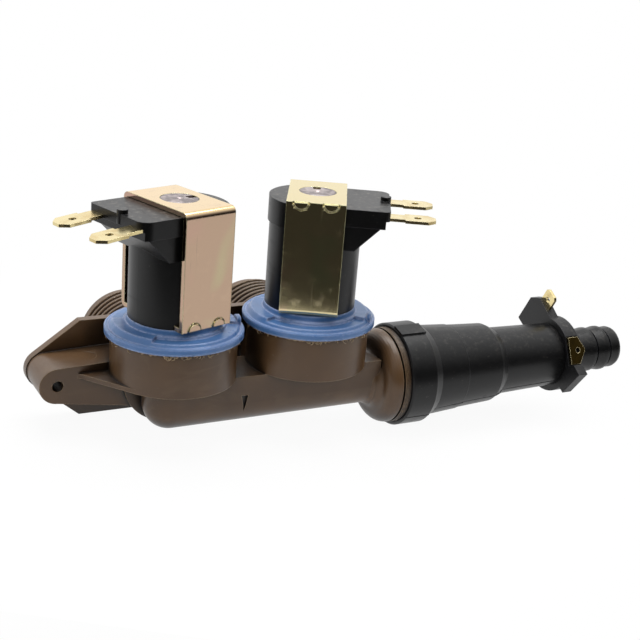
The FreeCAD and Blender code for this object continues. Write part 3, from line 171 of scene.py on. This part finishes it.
# Each mark's size in millimetres, and the two noise values where it starts and where it is full.
moulding = {"cloud": 16.0, "cloudAt": (0.3, 0.7), "flow": 4.0, "flowAt": (0.5, 0.8), "flowDepth": 2.0,
            "grain": 0.22, "wear": 1.2, "wearAt": (0.25, 0.5), "speck": 0.5, "speckAt": (0.66, 0.72),
            "cluster": 5.0, "clusterAt": (0.45, 0.65), "dust": 1.4, "dustAt": (0.5, 0.75), "level": (0.3, 1.0),
            "dustTint": "BDB6AC", "scuff": 2.2, "scuffAt": (0.56, 0.7), "scuffTurn": (0.4, 0.2, 0.9),
            # hollow and groove are how far the painted shade in recesses reaches; its dark colour is given
            # below.
            "hollow": 9.0, "hollowAt": (0.12, 0.6), "groove": 1.6, "grooveAt": (0.15, 0.5),
            "openAt": (0.6, 0.9), "recessShadeColour": "140C07", "gloss": 0.5, "throughSpread": (0.6, 0.8, 1.0),
            "throughDepth": 1.2}


def mouldedPlastic(name, look):
    # Injection-moulded plastic: faint flow marks, fine grain, paler edges that are partly rubbed wear and
    # partly a painted highlight, painted shade in hollows where asked, and a little dust on top.
    b, m = Bench(name), moulding
    soft, edge = b.softEdge(look["edge"])
    cloud = b.speckle(m["cloud"], 2.0, 0.5)
    flow = b.speckle(m["flow"], 3.0, 0.5, b.place((0.3, 1, 1)), warp=0.8)
    grain = b.speckle(m["grain"], 2.0, 0.5)
    colour = b.blend(cloud.between(*m["cloudAt"]), shade(look["dark"]), shade(look["base"]))
    colour = b.blend(flow.between(*m["flowAt"]) * look["flow"], colour, shade(look["pale"]))
    # Paler edges: partly rubbed wear, partly a painted highlight.
    rubbedAndHighlit = edge * b.speckle(m["wear"], 4.0, 0.6).between(*m["wearAt"]) * look["rubAndHighlight"]
    if "paintedRecessShade" in look:
        # Painted shade: the colour darkens in the deep hollows and in the threads' grooves, and there the edges
        # get no paler rub or painted highlight.
        deep, near = b.openness(m["hollow"]), b.openness(m["groove"])
        colour = b.blend((1 - deep).between(*m["hollowAt"]) * look["paintedRecessShade"], colour, shade(m["recessShadeColour"]))
        colour = b.blend((1 - near).between(*m["grooveAt"]) * look["paintedRecessShade"], colour, shade(m["recessShadeColour"]))
        rubbedAndHighlit = rubbedAndHighlit * near.between(*m["openAt"])
    colour = b.blend(rubbedAndHighlit, colour, shade(look["pale"]))
    cluster = b.speckle(m["cluster"], 2.0).between(*m["clusterAt"])
    specks = b.speckle(m["speck"], 3.0, 0.6).between(*m["speckAt"]) * cluster
    level = b.facingUp().between(*m["level"])
    dust = level * b.speckle(m["dust"], 5.0, 0.65).between(*m["dustAt"]) * look["dust"]
    colour = b.blend(dust + specks * look["specks"], colour, shade(m["dustTint"]))
    scuff = b.speckle(m["scuff"], 4.0, 0.65, b.place((1, 0.15, 1), m["scuffTurn"])).between(*m["scuffAt"])
    rough = look["rough"] + cloud * 0.06 + scuff * 0.07 + dust * 0.3 - 0.03
    b.finish({"Base Color": colour, "Roughness": rough, "Specular IOR Level": look.get("gloss", m["gloss"]),
              "Normal": b.bump(grain + flow * m["flowDepth"], look["grain"], soft)})
    if "through" in look:
        b.finish({"Subsurface Weight": look["through"], "Subsurface Radius": m["throughSpread"],
                  "Subsurface Scale": m["throughDepth"] * mm})
    return b.material


# Only the body gets painted shade in its hollows and grooves, at the share given last.
bodyLook = {"dark": "4E3925", "base": "5B432B", "pale": "A8906F", "flow": 0.06, "rubAndHighlight": 0.75, "dust": 0.05,
            "specks": 0.1, "rough": 0.34, "grain": 0.003, "edge": 0.35, "paintedRecessShade": 0.85}
flashLook = {"dark": "8A7253", "base": "AC9370", "pale": "D2BE9C", "flow": 0.2, "rubAndHighlight": 0.5, "dust": 0.0,
             "specks": 0.0, "rough": 0.5, "grain": 0.01, "edge": 0.08}
coverLook = {"dark": "456B9F", "base": "5079AE", "pale": "BAC6EA", "flow": 0.14, "rubAndHighlight": 0.8, "dust": 0.04,
             "specks": 0.15, "rough": 0.28, "grain": 0.003, "edge": 0.9, "through": 0.1}
coilLook = {"dark": "070708", "base": "0A0A0B", "pale": "44444C", "flow": 0.02, "rubAndHighlight": 0.45, "dust": 0.24,
            "specks": 0.12, "rough": 0.33, "grain": 0.003, "edge": 0.3, "gloss": 0.32}
outletLook = {"dark": "060607", "base": "09090A", "pale": "3E3F46", "flow": 0.02, "rubAndHighlight": 0.55, "dust": 0.06,
              "specks": 0.16, "rough": 0.34, "grain": 0.004, "edge": 0.25, "gloss": 0.34}
carrierLook = {"dark": "0A0A0B", "base": "101012", "pale": "3E3F45", "flow": 0.05, "rubAndHighlight": 0.5, "dust": 0.08,
               "specks": 0.1, "rough": 0.42, "grain": 0.006, "edge": 0.3, "gloss": 0.35}
naturalLook = {"dark": "C9C4B4", "base": "D6D1C3", "pale": "EAE6DA", "flow": 0.15, "rubAndHighlight": 0.3, "dust": 0.03,
               "specks": 0.05, "rough": 0.4, "grain": 0.004, "edge": 0.2, "through": 0.2}

zinc = {"edge": 0.35, "film": 18.0, "filmAt": (0.25, 0.42, 0.6, 0.78), "level": (0.2, 0.8), "rolled": 0.9,
        "blotch": 3.5, "blotchAt": (0.52, 0.74), "blotchShare": 0.35, "scratch": 0.5, "scratchAt": (0.69, 0.73),
        "scratchTurn": (0.9, 0.5, 0.2), "depth": 0.0012}


def yellowZinc(name, look):
    # Passivated zinc on cold-rolled strip: a thin film that drifts in tint, rolled lines, pale cut edges that
    # are partly a painted highlight, and a paler painted reflection on the upward faces.
    b, z = Bench(name), zinc
    soft, edge = b.softEdge(z["edge"])
    drift = b.speckle(z["film"], 2.0, 0.5, warp=0.8)
    stops = [(at, shade(look[tint])) for at, tint in zip(z["filmAt"], ("green", "base", "base", "pink"))]
    side = b.node("ShaderNodeValToRGB", {"stops": stops}, {"Fac": drift})
    # Painted reflection: faces that look up take the paler top colour, for the bright room they mirror.
    tint = b.blend(b.facingUp().between(*z["level"]), side, shade(look["top"]))
    rolled = b.speckle(z["rolled"], 3.0, 0.5, b.place((1, 1, 0.02)))
    blotch = b.speckle(z["blotch"], 4.0, 0.6).between(*z["blotchAt"])
    colour = b.blend(blotch * z["blotchShare"], tint, shade(look["spot"]))
    # Pale edges: partly bare cut edges, partly a painted highlight.
    colour = b.blend(edge, colour, shade(look["edge"]))
    scratch = b.speckle(z["scratch"], 2.0, 0.5, b.place((1, 1, 0.04), z["scratchTurn"]))
    scratch = scratch.between(*z["scratchAt"])
    rough = look["rough"] + drift * 0.05 + blotch * 0.08 + scratch * 0.06 + edge * 0.15
    b.finish({"Base Color": colour, "Roughness": rough, "Metallic": 1.0 - scratch * 0.2 - edge * 0.55,
              "Normal": b.bump(rolled + scratch * 0.3, z["depth"], soft)})
    return b.material


# The yokes' film colours; the top colour is a painted reflection on the upward faces.
yokeLook = {"base": "D6C99E", "green": "C9CE9E", "pink": "D9C09F", "spot": "E2D5AC", "edge": "E6E4B4",
            "top": "DECC94", "rough": 0.08}
leftYokeLook = {**yokeLook, "base": "B49A84", "green": "B5A888", "pink": "BB9788", "spot": "C4AA90",
                "top": "E8CB9C"}
turning = {"edge": 0.15, "tool": 0.5, "toolTurn": (0, 0, 0.6), "torn": 3.0, "tornAt": (0.38, 0.66),
           "rim": "8C8078", "rimShare": 0.7, "metal": 0.9, "depth": 0.002}


def turnedSteel(name, look):
    # Faced steel: fine tool marks, with darker patches where the tool has torn it.
    b, t = Bench(name), turning
    soft, edge = b.softEdge(t["edge"])
    fine = b.speckle(t["tool"], 2.0, 0.5, b.place((1, 0.2, 1), t["toolTurn"]))
    patch = b.speckle(t["torn"], 3.0, 0.6, warp=1.2)
    colour = b.blend(patch.between(*t["tornAt"]), shade(look["dark"]), shade(look["base"]))
    colour = b.blend(edge * t["rimShare"], colour, shade(t["rim"]))
    b.finish({"Base Color": colour, "Metallic": look.get("metal", t["metal"]),
              "Roughness": look["rough"] + patch * 0.2, "Normal": b.bump(fine, t["depth"], soft)})
    return b.material


brassLook = {"base": "E9D8A2", "dull": "D3BC85", "side": "6E5A33", "edge": "F7EFC8", "shear": 0.6,
             "darken": 0.12, "rim": 0.35, "width": 0.1, "mark": 4.0, "markAt": (0.4, 0.72),
             "dullAt": (0.4, 0.7), "line": 0.6, "rough": 0.2, "depth": 0.001}


def stampedBrass(name, look):
    # Thin brass strip with die lines along it, dull finger marks, darker sheared edges and a painted highlight
    # along its edges.
    b = Bench(name)
    soft, edge = b.softEdge(look["width"])
    marks = b.speckle(look["mark"], 3.0, 0.55, warp=0.8)
    lines = b.speckle(look["line"], 2.0, 0.5, b.place((0.06, 1, 1)))
    colour = b.blend(marks.between(*look["markAt"]), shade(look["base"]), shade(look["dull"]))
    sheared = (1 - b.facingUp().maths("ABSOLUTE", 0.0)).between(look["shear"], 1.0)
    colour = b.blend(sheared * look["darken"], colour, shade(look["side"]))
    # Paler edges: a painted highlight, full on the lower terminal.
    colour = b.blend(edge * look["rim"], colour, shade(look["edge"]))
    b.finish({"Base Color": colour, "Metallic": 1.0 - edge * look["rim"] * 0.5,
              "Roughness": look["rough"] + marks.between(*look["dullAt"]) * 0.12,
              "Normal": b.bump(lines, look["depth"], soft)})
    return b.material


rubber = {"edge": 0.2, "bloom": 1.6, "bloomAt": (0.45, 0.75), "black": "161616", "grey": "343434",
          "rim": "4A4A4A", "rough": 0.6, "grain": 0.2, "depth": 0.005}


def blackRubber(name):
    # Moulded rubber with a faint grey bloom.
    b, r = Bench(name), rubber
    soft, edge = b.softEdge(r["edge"])
    bloom = b.speckle(r["bloom"], 5.0, 0.7)
    colour = b.blend(bloom.between(*r["bloomAt"]) * 0.5, shade(r["black"]), shade(r["grey"]))
    b.finish({"Base Color": b.blend(edge * 0.4, colour, shade(r["rim"])), "Roughness": r["rough"] + bloom * 0.2,
              "Normal": b.bump(b.speckle(r["grain"]), r["depth"], soft)})
    return b.material


copper = {"pitch": 0.22, "ridge": 0.03, "patch": 3.0, "dark": "9C4F22", "base": "C8763E", "metal": 0.85,
          "rough": 0.28}


def woundCopper(name):
    # Layers of enamelled wire, each turn a fine ridge round the reel.
    b, c = Bench(name), copper
    height = b.node("ShaderNodeSeparateXYZ", {}, {0: b.place()}, out="Z")
    turns = (height * (tau / (c["pitch"] * mm))).maths("SINE", 0.0)
    patch = b.speckle(c["patch"], 3.0)
    b.finish({"Base Color": b.blend(patch, shade(c["dark"]), shade(c["base"])), "Metallic": c["metal"],
              "Roughness": c["rough"] + patch * 0.1, "Normal": b.bump(turns, c["ridge"])})
    return b.material


finishes = {
    "body_plastic": mouldedPlastic("bodyBrown", bodyLook),
    "cover_plastic": mouldedPlastic("coverBlue", coverLook),
    "coil_plastic": mouldedPlastic("coilBlack", coilLook),
    "black_plastic": mouldedPlastic("outletBlack", outletLook),
    "carrier_plastic": mouldedPlastic("carrierBlack", carrierLook),
    "bobbin_plastic": mouldedPlastic("bobbinNatural", naturalLook),
    "insert_plastic": mouldedPlastic("insertNatural", naturalLook),
    "screen_plastic": mouldedPlastic("screenNatural", naturalLook),
    "yoke_zinc": yellowZinc("yokeZinc", yokeLook),
    "core_steel": turnedSteel("coreSteel", {"base": "A99E9D", "dark": "6E6465", "rough": 0.3, "metal": 0.75}),
    "armature_steel": turnedSteel("plungerSteel", {"base": "B9B9BC", "dark": "8E8E92", "rough": 0.2}),
    "spring_steel": turnedSteel("springSteel", {"base": "B0B0B4", "dark": "84848A", "rough": 0.2}),
    "probe_steel": turnedSteel("probeSteel", {"base": "C2C2C6", "dark": "9A9A9E", "rough": 0.18}),
    "tab_brass": stampedBrass("tabBrass", brassLook),
    "diaphragm_rubber": blackRubber("diaphragmRubber"),
    "seal_rubber": blackRubber("sealRubber"),
    "copper_wire": woundCopper("woundCopper"),
}
# The left yoke's film is pinker, and the sensor's terminals stand upright; the lower one's brass is painted
# dark as shade, with painted highlights along its edges.
standingBrass = {**brassLook, "darken": 0.0}
paintedShadeBrass = {**standingBrass, "base": "6A5628", "dull": "3E3218", "edge": "FFF0C0", "rim": 1.0,
               "width": 0.3}
special = {"yoke_1": yellowZinc("leftYokeZinc", leftYokeLook),
           "sensor_tab_upper": stampedBrass("standingBrass", standingBrass),
           "sensor_tab_lower": stampedBrass("paintedShadeBrass", paintedShadeBrass)}
flashFinish = mouldedPlastic("weldFlash", flashLook)
slotOf = {s["node"]: s["material_slot"] for s in frame["record"]["subparts"]}
print("stage:", len(finishes), "finishes made")


crease = 32


def smoothByAngle(mesh, degrees=crease):
    mesh.shade_smooth()
    mesh.set_sharp_from_angle(angle=radians(degrees))


for name, obj in frame["nodes"].items():
    obj.data.materials.clear()
    obj.data.materials.append(special.get(name, finishes[slotOf[name]]))
    smoothByAngle(obj.data)


def meshObject(name, bm, finish, angle=crease):
    mesh = bpy.data.meshes.new(name)
    bm.normal_update()
    bm.to_mesh(mesh)
    bm.free()
    obj = bpy.data.objects.new(name, mesh)
    bpy.context.scene.collection.objects.link(obj)
    mesh.materials.append(finish)
    smoothByAngle(mesh, angle)
    return obj


def newPiece(name, bm, slotName, angle=crease, finish=None):
    # A piece of dressing that rides on the valve's body.
    obj = meshObject(name, bm, finish or finishes[slotName], angle)
    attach(obj, "valve")
    return obj


def sweepRings(bm, rings, closed=False):
    # Skins rows of points into a tube-like sheet; each row is a closed loop.
    rows = [[bm.verts.new(p) for p in ring] for ring in rings]
    count = len(rows[0])
    pairs = list(zip(rows, rows[1:])) + ([(rows[-1], rows[0])] if closed else [])
    for one, two in pairs:
        for i in range(count):
            j = (i + 1) % count
            bm.faces.new((one[i], one[j], two[j], two[i]))
    if not closed:
        bm.faces.new(rows[0][::-1])
        bm.faces.new(rows[-1])


# Places on the valve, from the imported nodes, in millimetres.
def boxOf(name):
    low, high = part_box(name)
    return low / mm, high / mm


def chamberAxis(n):
    low, high = boxOf(f"armature_{n}")
    return (low.x + high.x) / 2, (low.y + high.y) / 2


# Weld flash: the chamber's radius and the guide tube's height above its rim, the bead's size and its
# ragged edge, and the stretches in degrees where crumbs hang, with how many.
flash = {"seed": 7, "radius": 16.2, "tube": 23.6, "steps": 300, "sink": 0.15, "bulge": 0.9,
         "leastBulge": 0.25, "meanBulge": 0.6, "waves": (9, 0.55), "teeth": (45, 0.8), "drop": 1.1,
         "leastDrop": 0.3, "meanDrop": 0.6, "sag": (30, 0.7),
         "spots": ((-118, -96, 14), (-92, -66, 10), (-62, -40, 9), (140, 215, 10), (20, 60, 3))}
crumb = {"length": (0.4, 1.5), "swing": 4, "size": (0.13, 0.24), "joints": 6, "out": 0.75, "arch": 0.35,
         "bend": 2.6, "below": 0.25, "lift": 0.3, "taper": 0.7, "wide": 1.3, "thick": 0.8,
         "corners": (0, 1.26, 2.51, 3.77, 5.03)}


def curl(bm, points, size):
    # A torn strand of plastic that tapers along these points.
    rings = []
    last = len(points) - 1
    for k, p in enumerate(points):
        s = size * (1 - crumb["taper"] * k / last)
        ahead = (points[min(k + 1, last)] - points[max(k - 1, 0)]).normalized()
        side = ahead.cross(Vector((0.3, 0.2, 0.93))).normalized()
        over = side.cross(ahead)
        rings.append([(p + side * s * cos(q) * crumb["wide"] + over * s * sin(q) * crumb["thick"]) * mm
                      for q in crumb["corners"]])
    sweepRings(bm, rings)


def weldFlash(n):
    # Plastic squeezed out of the weld under the lid, with torn crumbs hanging from it in places.
    random.seed(flash["seed"] + n)
    cx, cy = chamberAxis(n)
    rim = boxOf(f"guide_cover_{n}")[1].z - flash["tube"]
    centre, sink = Vector((cx, cy, rim)), -flash["sink"]
    (waves, wave), (teeth, tooth), (sags, sag) = flash["waves"], flash["teeth"], flash["sag"]
    bm = bmesh.new()
    rings = []
    for i in range(flash["steps"]):
        a = tau * i / flash["steps"]
        way = Vector((cos(a), sin(a), 0))
        ragged = noise.noise(way * waves + Vector((0, 0, n * 3.1)))
        ragged += tooth * noise.noise(way * teeth + Vector((0, 0, n)))
        sagging = noise.noise(way * sags + Vector((0, 0, 5 + n)))
        out = flash["bulge"] * max(flash["leastBulge"], flash["meanBulge"] + wave * ragged)
        low = flash["drop"] * max(flash["leastDrop"], flash["meanDrop"] + sag * sagging)
        section = ((sink, 0.0), (out, -0.02), (out + 0.1, -low * 0.5), (out * 0.4 + 0.05, -low), (sink, -low))
        rings.append([(centre + way * (flash["radius"] + r) + Vector((0, 0, z))) * mm for r, z in section])
    sweepRings(bm, rings, closed=True)
    for first, last, count in flash["spots"]:
        for _ in range(count):
            a = radians(random.uniform(first, last))
            length = random.uniform(*crumb["length"])
            swing = random.uniform(-crumb["swing"], crumb["swing"])
            points = []
            for k in range(crumb["joints"]):
                t = k / (crumb["joints"] - 1)
                b = a + radians(swing * t * t)
                r = flash["radius"] + crumb["out"] + crumb["arch"] * sin(t * crumb["bend"])
                z = rim - crumb["below"] - length * t + crumb["lift"] * t * t
                points.append(Vector((cx + r * cos(b), cy + r * sin(b), z)))
            curl(bm, points, random.uniform(*crumb["size"]))
    bmesh.ops.recalc_face_normals(bm, faces=bm.faces)
    return newPiece(f"weldFlash{n}", bm, "body_plastic", angle=60, finish=flashFinish)


# Outlet stations by distance along X from the housing's tail end, and the radii there.
parting = {"line": ((-79.3, 14.5), (-71.9, 14.5), (-71.0, 13.55), (-69.0, 12.86), (-59.6, 12.33),
                    (-59.3, 12.08), (-47.6, 11.5), (-45.9, 10.9), (-44.9, 9.9), (-24.1, 9.38)),
           "angles": (217, 37), "half": 0.16, "proud": 0.09, "sink": 0.2, "step": 1.5, "crown": 0.4,
           "mean": 0.7, "wave": 0.3, "pace": 0.6, "apart": 5}


def partingLine(index):
    # Thin ridge where the mould's halves met, along the whole outlet.
    a = radians(parting["angles"][index])
    outward = Vector((0, cos(a), sin(a)))
    across = Vector((0, -sin(a), cos(a)))
    low, high = boxOf("outlet_seal")
    axis = Vector((boxOf("outlet_housing")[1].x, (low.y + high.y) / 2, (low.z + high.z) / 2))
    bm = bmesh.new()
    rings = []
    points = []
    for (x0, r0), (x1, r1) in zip(parting["line"], parting["line"][1:]):
        steps = max(1, int((x1 - x0) / parting["step"]))
        points += [(x0 + (x1 - x0) * k / steps, r0 + (r1 - r0) * k / steps) for k in range(steps)]
    h, sink = parting["half"], -parting["sink"]
    crown = h * parting["crown"]
    for x, r in points:
        wave = noise.noise((x * parting["pace"], index * parting["apart"], 0))
        p = parting["proud"] * (parting["mean"] + parting["wave"] * wave)
        section = ((sink, -h), (0.0, -h), (p, -crown), (p, crown), (0.0, h), (sink, h))
        spot = axis + Vector((x, 0, 0))
        rings.append([(spot + outward * (r + rise) + across * side) * mm for rise, side in section])
    sweepRings(bm, rings)
    bmesh.ops.recalc_face_normals(bm, faces=bm.faces)
    return newPiece(f"partingLine{index + 1}", bm, "black_plastic")


strainer = {"wire": 0.12, "gap": 0.75, "radius": 6.0, "setback": 11.6, "flange": 0.9, "weave": 0.9,
            "margin": 0.2, "leastSteps": 3, "corners": (0.8, 2.36, 3.93, 5.5)}


def strainerMesh(n):
    # Woven plastic gauze across the end of the inlet screen's cup.
    x, _ = chamberAxis(n)
    y = boxOf(f"inlet_screen_{n}")[1].y - strainer["setback"] + strainer["flange"]
    bm = bmesh.new()
    reach, gap, wire = strainer["radius"], strainer["gap"], strainer["wire"]
    along = Vector((0, 1, 0))
    lines = int(2 * reach / gap)
    for way, side in enumerate((Vector((0, 0, 1)), Vector((1, 0, 0)))):
        for k in range(lines + 1):
            u = -reach + gap * (k + 0.5)
            if abs(u) > reach - strainer["margin"]:
                continue
            span = sqrt(reach * reach - u * u)
            rings = []
            steps = max(strainer["leastSteps"], int(2 * span / gap * 2))
            for i in range(steps + 1):
                v = -span + 2 * span * i / steps
                weave = wire * strainer["weave"] * cos(pi * (v / gap + k + way))
                a, b = (u, v) if way else (v, u)
                centre = Vector((x + a, y + weave, b))
                rings.append([(centre + side * wire * cos(q) + along * wire * sin(q)) * mm
                              for q in strainer["corners"]])
            sweepRings(bm, rings)
    bmesh.ops.recalc_face_normals(bm, faces=bm.faces)
    return newPiece(f"strainerMesh{n}", bm, "screen_plastic", angle=60)


# Each yoke's turn about +Z, the side its joint is on and whether the burrs lie above the lobes' centres.
stake = {"seed": 11, "chips": 9, "size": 0.3, "share": (0.5, 1.15), "rise": 0.1, "ring": 1.95,
         "ringEase": (-0.12, 0.18), "face": 12.5, "faceEase": (-0.15, 0.1), "arc": (12, 168), "spread": 3.775,
         "flat": (1.5, 0.55, 0.75, 1), "rough": 0.5, "turns": (196.9, -28.6), "sides": (1, -1), "ups": (1, -1)}


def stakedEdge(n):
    # Burrs of metal pushed up round the two lobes at the yoke's joint.
    random.seed(stake["seed"] + n)
    yaw, side, up = radians(stake["turns"][n - 1]), stake["sides"][n - 1], stake["ups"][n - 1]
    cx, cy = chamberAxis(n)
    low, high = boxOf(f"yoke_{n}")
    level = low.z + stake["rise"] if up > 0 else high.z - stake["rise"]
    bm = bmesh.new()
    for x in (-stake["spread"], stake["spread"]):
        for _ in range(stake["chips"]):
            q = radians(random.uniform(*stake["arc"]))
            r = stake["ring"] + random.uniform(*stake["ringEase"])
            y = side * (stake["face"] + random.uniform(*stake["faceEase"]))
            centre = Vector((x + r * cos(q), y, up * r * sin(q)))
            size = stake["size"] * random.uniform(*stake["share"])
            made = bmesh.ops.create_icosphere(bm, subdivisions=2, radius=size)["verts"]
            turn = Matrix.Rotation(q, 4, "Y") @ Matrix.Diagonal(stake["flat"])
            for v in made:
                ragged = Vector((noise.noise(v.co * 5 + centre), noise.noise(v.co * 7 + centre), 0))
                v.co += ragged * size * stake["rough"]
                p = turn @ v.co + centre
                turned = Vector((p.x * cos(yaw) - p.y * sin(yaw), p.x * sin(yaw) + p.y * cos(yaw), p.z))
                v.co = (turned + Vector((cx, cy, level))) * mm
    return newPiece(f"stakedEdge{n}", bm, "yoke_zinc", angle=60)


def returnSpring(n):
    # A copy of the return spring that rides on the valve's body, in place of the imported one.
    name = f"armature_spring_{n}"
    node = frame["nodes"][name]
    bm = bmesh.new()
    bm.from_mesh(node.data)
    bm.transform(node.matrix_world)
    obj = newPiece(f"returnSpring{n}", bm, "spring_steel")
    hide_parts(name)
    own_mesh(obj)


for n in (1, 2):
    returnSpring(n)
    weldFlash(n)
    strainerMesh(n)
    stakedEdge(n)
for index in range(2):
    partingLine(index)
print("stage: springs, weld flash, strainers, staking and parting lines made")


# Angles in degrees, lengths in millimetres, and the focal length in pixels of the picture's width.
view = {"azimuth": -28.649, "elevation": 19.708, "roll": 4.654, "distance": 335.77,
        "target": (22.67, -18.8, 13.27), "focal": 1248.996, "pixels": 640, "sensor": 36, "clip": (0.01, 10)}


def makeCamera():
    a, e, r = (radians(view[k]) for k in ("azimuth", "elevation", "roll"))
    back = Vector((sin(a) * cos(e), -cos(a) * cos(e), sin(e)))
    right = (-back).cross(Vector((0, 0, 1))).normalized()
    up = right.cross(-back).normalized()
    right, up = right * cos(r) + up * sin(r), up * cos(r) - right * sin(r)
    data = bpy.data.cameras.new("camera")
    data.lens, data.sensor_width = view["focal"] * view["sensor"] / view["pixels"], view["sensor"]
    data.clip_start, data.clip_end = view["clip"]
    camera = bpy.data.objects.new("camera", data)
    spot = (Vector(view["target"]) + back * view["distance"]) * mm
    camera.matrix_world = Matrix.Translation(spot) @ Matrix((right, up, back)).transposed().to_4x4()
    bpy.context.scene.collection.objects.link(camera)
    bpy.context.scene.camera = camera


# The board's edge is a row of inset and drop. Its shadow fades out between two distances, in metres.
table = {"tilt": 4.1, "low": -19.7, "lowAt": 49.0, "turn": -28.65, "wide": (-420, 420), "deep": (-118, 380),
         "corner": 26.0, "edge": ((3.0, 0.0), (0.8, 0.5), (0.0, 2.4), (0.0, 12.0)), "grain": 1.2,
         "dark": "E6E6E6", "base": "EDEDED", "rough": 0.75, "shadow": 0.06, "fade": (0.09, 0.135)}


def seesBackground(b):
    # Camera, mirror and glass rays, which see a plain white surround.
    kinds = ("Camera", "Glossy", "Transmission")
    camera, mirror, glass = [b.node("ShaderNodeLightPath", out=f"Is {kind} Ray") for kind in kinds]
    return camera, mirror.maths("MAXIMUM", glass)


def tableTop():
    # Pale board. The camera and mirrors see it as nearly white, with a faint shade round the valve.
    b = Bench("tableTop")
    grain = b.speckle(table["grain"], 4.0)
    b.finish({"Base Color": b.blend(grain, shade(table["dark"]), shade(table["base"])),
              "Roughness": table["rough"] + grain * 0.1})
    camera, mirror = seesBackground(b)
    away = b.node("ShaderNodeVectorMath", {"operation": "LENGTH"}, {0: b.place()}, out="Value")
    plain = away.between(*table["fade"]) * table["shadow"] + (1 - table["shadow"])
    glow = b.node("ShaderNodeEmission", {}, {"Color": (1, 1, 1), "Strength": 1.0})
    output = next(n for n in b.tree.nodes if n.type == "OUTPUT_MATERIAL")
    lit = Wire(b, b.shader.outputs[0])
    mixed = b.node("ShaderNodeMixShader", {}, {0: (camera + mirror) * plain, 1: lit, 2: glow})
    b.feed(output.inputs["Surface"], mixed)
    return b.material


def makeTable():
    # The valve lies on its outlet collar and bracket, so the table is tilted to the valve's own frame.
    (x0, x1), (y0, y1) = table["wide"], table["deep"]
    c = table["corner"]
    slope = sin(radians(table["tilt"]))
    turn = Matrix.Rotation(radians(table["turn"]), 3, "Z")
    rim = []
    corners = (x1 - c, y1 - c), (x0 + c, y1 - c), (x0 + c, y0 + c), (x1 - c, y0 + c)
    for i, (cx, cy) in enumerate(corners):
        turns = [radians(90 * i + t) for t in range(0, 91, 10)]
        rim += [(cx + c * cos(t), cy + c * sin(t)) for t in turns]
    bm = bmesh.new()
    rings = []
    for inset, drop in table["edge"]:
        ring = []
        for x, y in rim:
            spot = turn @ Vector((x - (inset if x > 0 else -inset), y - (inset if y > 0 else -inset), 0))
            spot.z = table["low"] - (spot.x - table["lowAt"]) * slope - drop
            ring.append(spot * mm)
        rings.append(ring)
    sweepRings(bm, rings)
    meshObject("table", bm, tableTop())


# Lamps by place, size, power and the point they face; the room's own light; how bright metal mirrors it;
# and the dark half of the room, with the height where it turns white.
studio = {"top": {"at": (40, 40, 520), "size": (520, 380), "power": 3.4, "aim": (20, -10, 10)},
          "left": {"at": (-380, -330, 300), "size": (220, 300), "power": 0.8, "aim": (0, -15, 15)},
          "right": {"at": (430, -200, 260), "size": (260, 300), "power": 0.4, "aim": (40, -15, 10)},
          "ambient": 0.42, "mirrored": 1.15, "dark": (0.035, 0.033, 0.03), "horizon": (-0.3, 0.75),
          "lean": 0.6}


def makeLamps():
    for name in ("top", "left", "right"):
        lamp = studio[name]
        data = bpy.data.lights.new(name + "Lamp", "AREA")
        data.shape, data.size, data.size_y = "RECTANGLE", lamp["size"][0] * mm, lamp["size"][1] * mm
        data.energy = lamp["power"]
        obj = bpy.data.objects.new(name + "Lamp", data)
        obj.location = Vector(lamp["at"]) * mm
        obj.rotation_mode = "QUATERNION"
        obj.rotation_quaternion = (Vector(lamp["aim"]) - Vector(lamp["at"])).to_track_quat("-Z", "Y")
        obj.visible_glossy = name == "top"
        bpy.context.scene.collection.objects.link(obj)
    world = bpy.data.worlds.new("studio")
    world.use_nodes = True
    bpy.context.scene.world = world
    b = Bench("studio", world.node_tree)
    # White all round for the camera. Metal mirrors it too, apart from the dark room below and in front.
    where = b.node("ShaderNodeTexCoord", out="Generated")
    height = b.node("ShaderNodeSeparateXYZ", {}, {0: where}, out="Z")
    depth = b.node("ShaderNodeSeparateXYZ", {}, {0: where}, out="Y")
    room = b.blend((height + depth * studio["lean"]).between(*studio["horizon"]), studio["dark"], (1, 1, 1))
    camera, mirror = seesBackground(b)
    back = next(n for n in b.tree.nodes if n.type == "BACKGROUND")
    b.feed(back.inputs["Color"], b.blend(camera, room, (1, 1, 1)))
    ambient = studio["ambient"]
    b.feed(back.inputs["Strength"], camera * (1 - ambient) + mirror * (studio["mirrored"] - ambient) + ambient)


makeCamera()
makeTable()
makeLamps()
bpy.context.scene.view_settings.view_transform = "Standard"
print("stage: camera, table and lamps set")
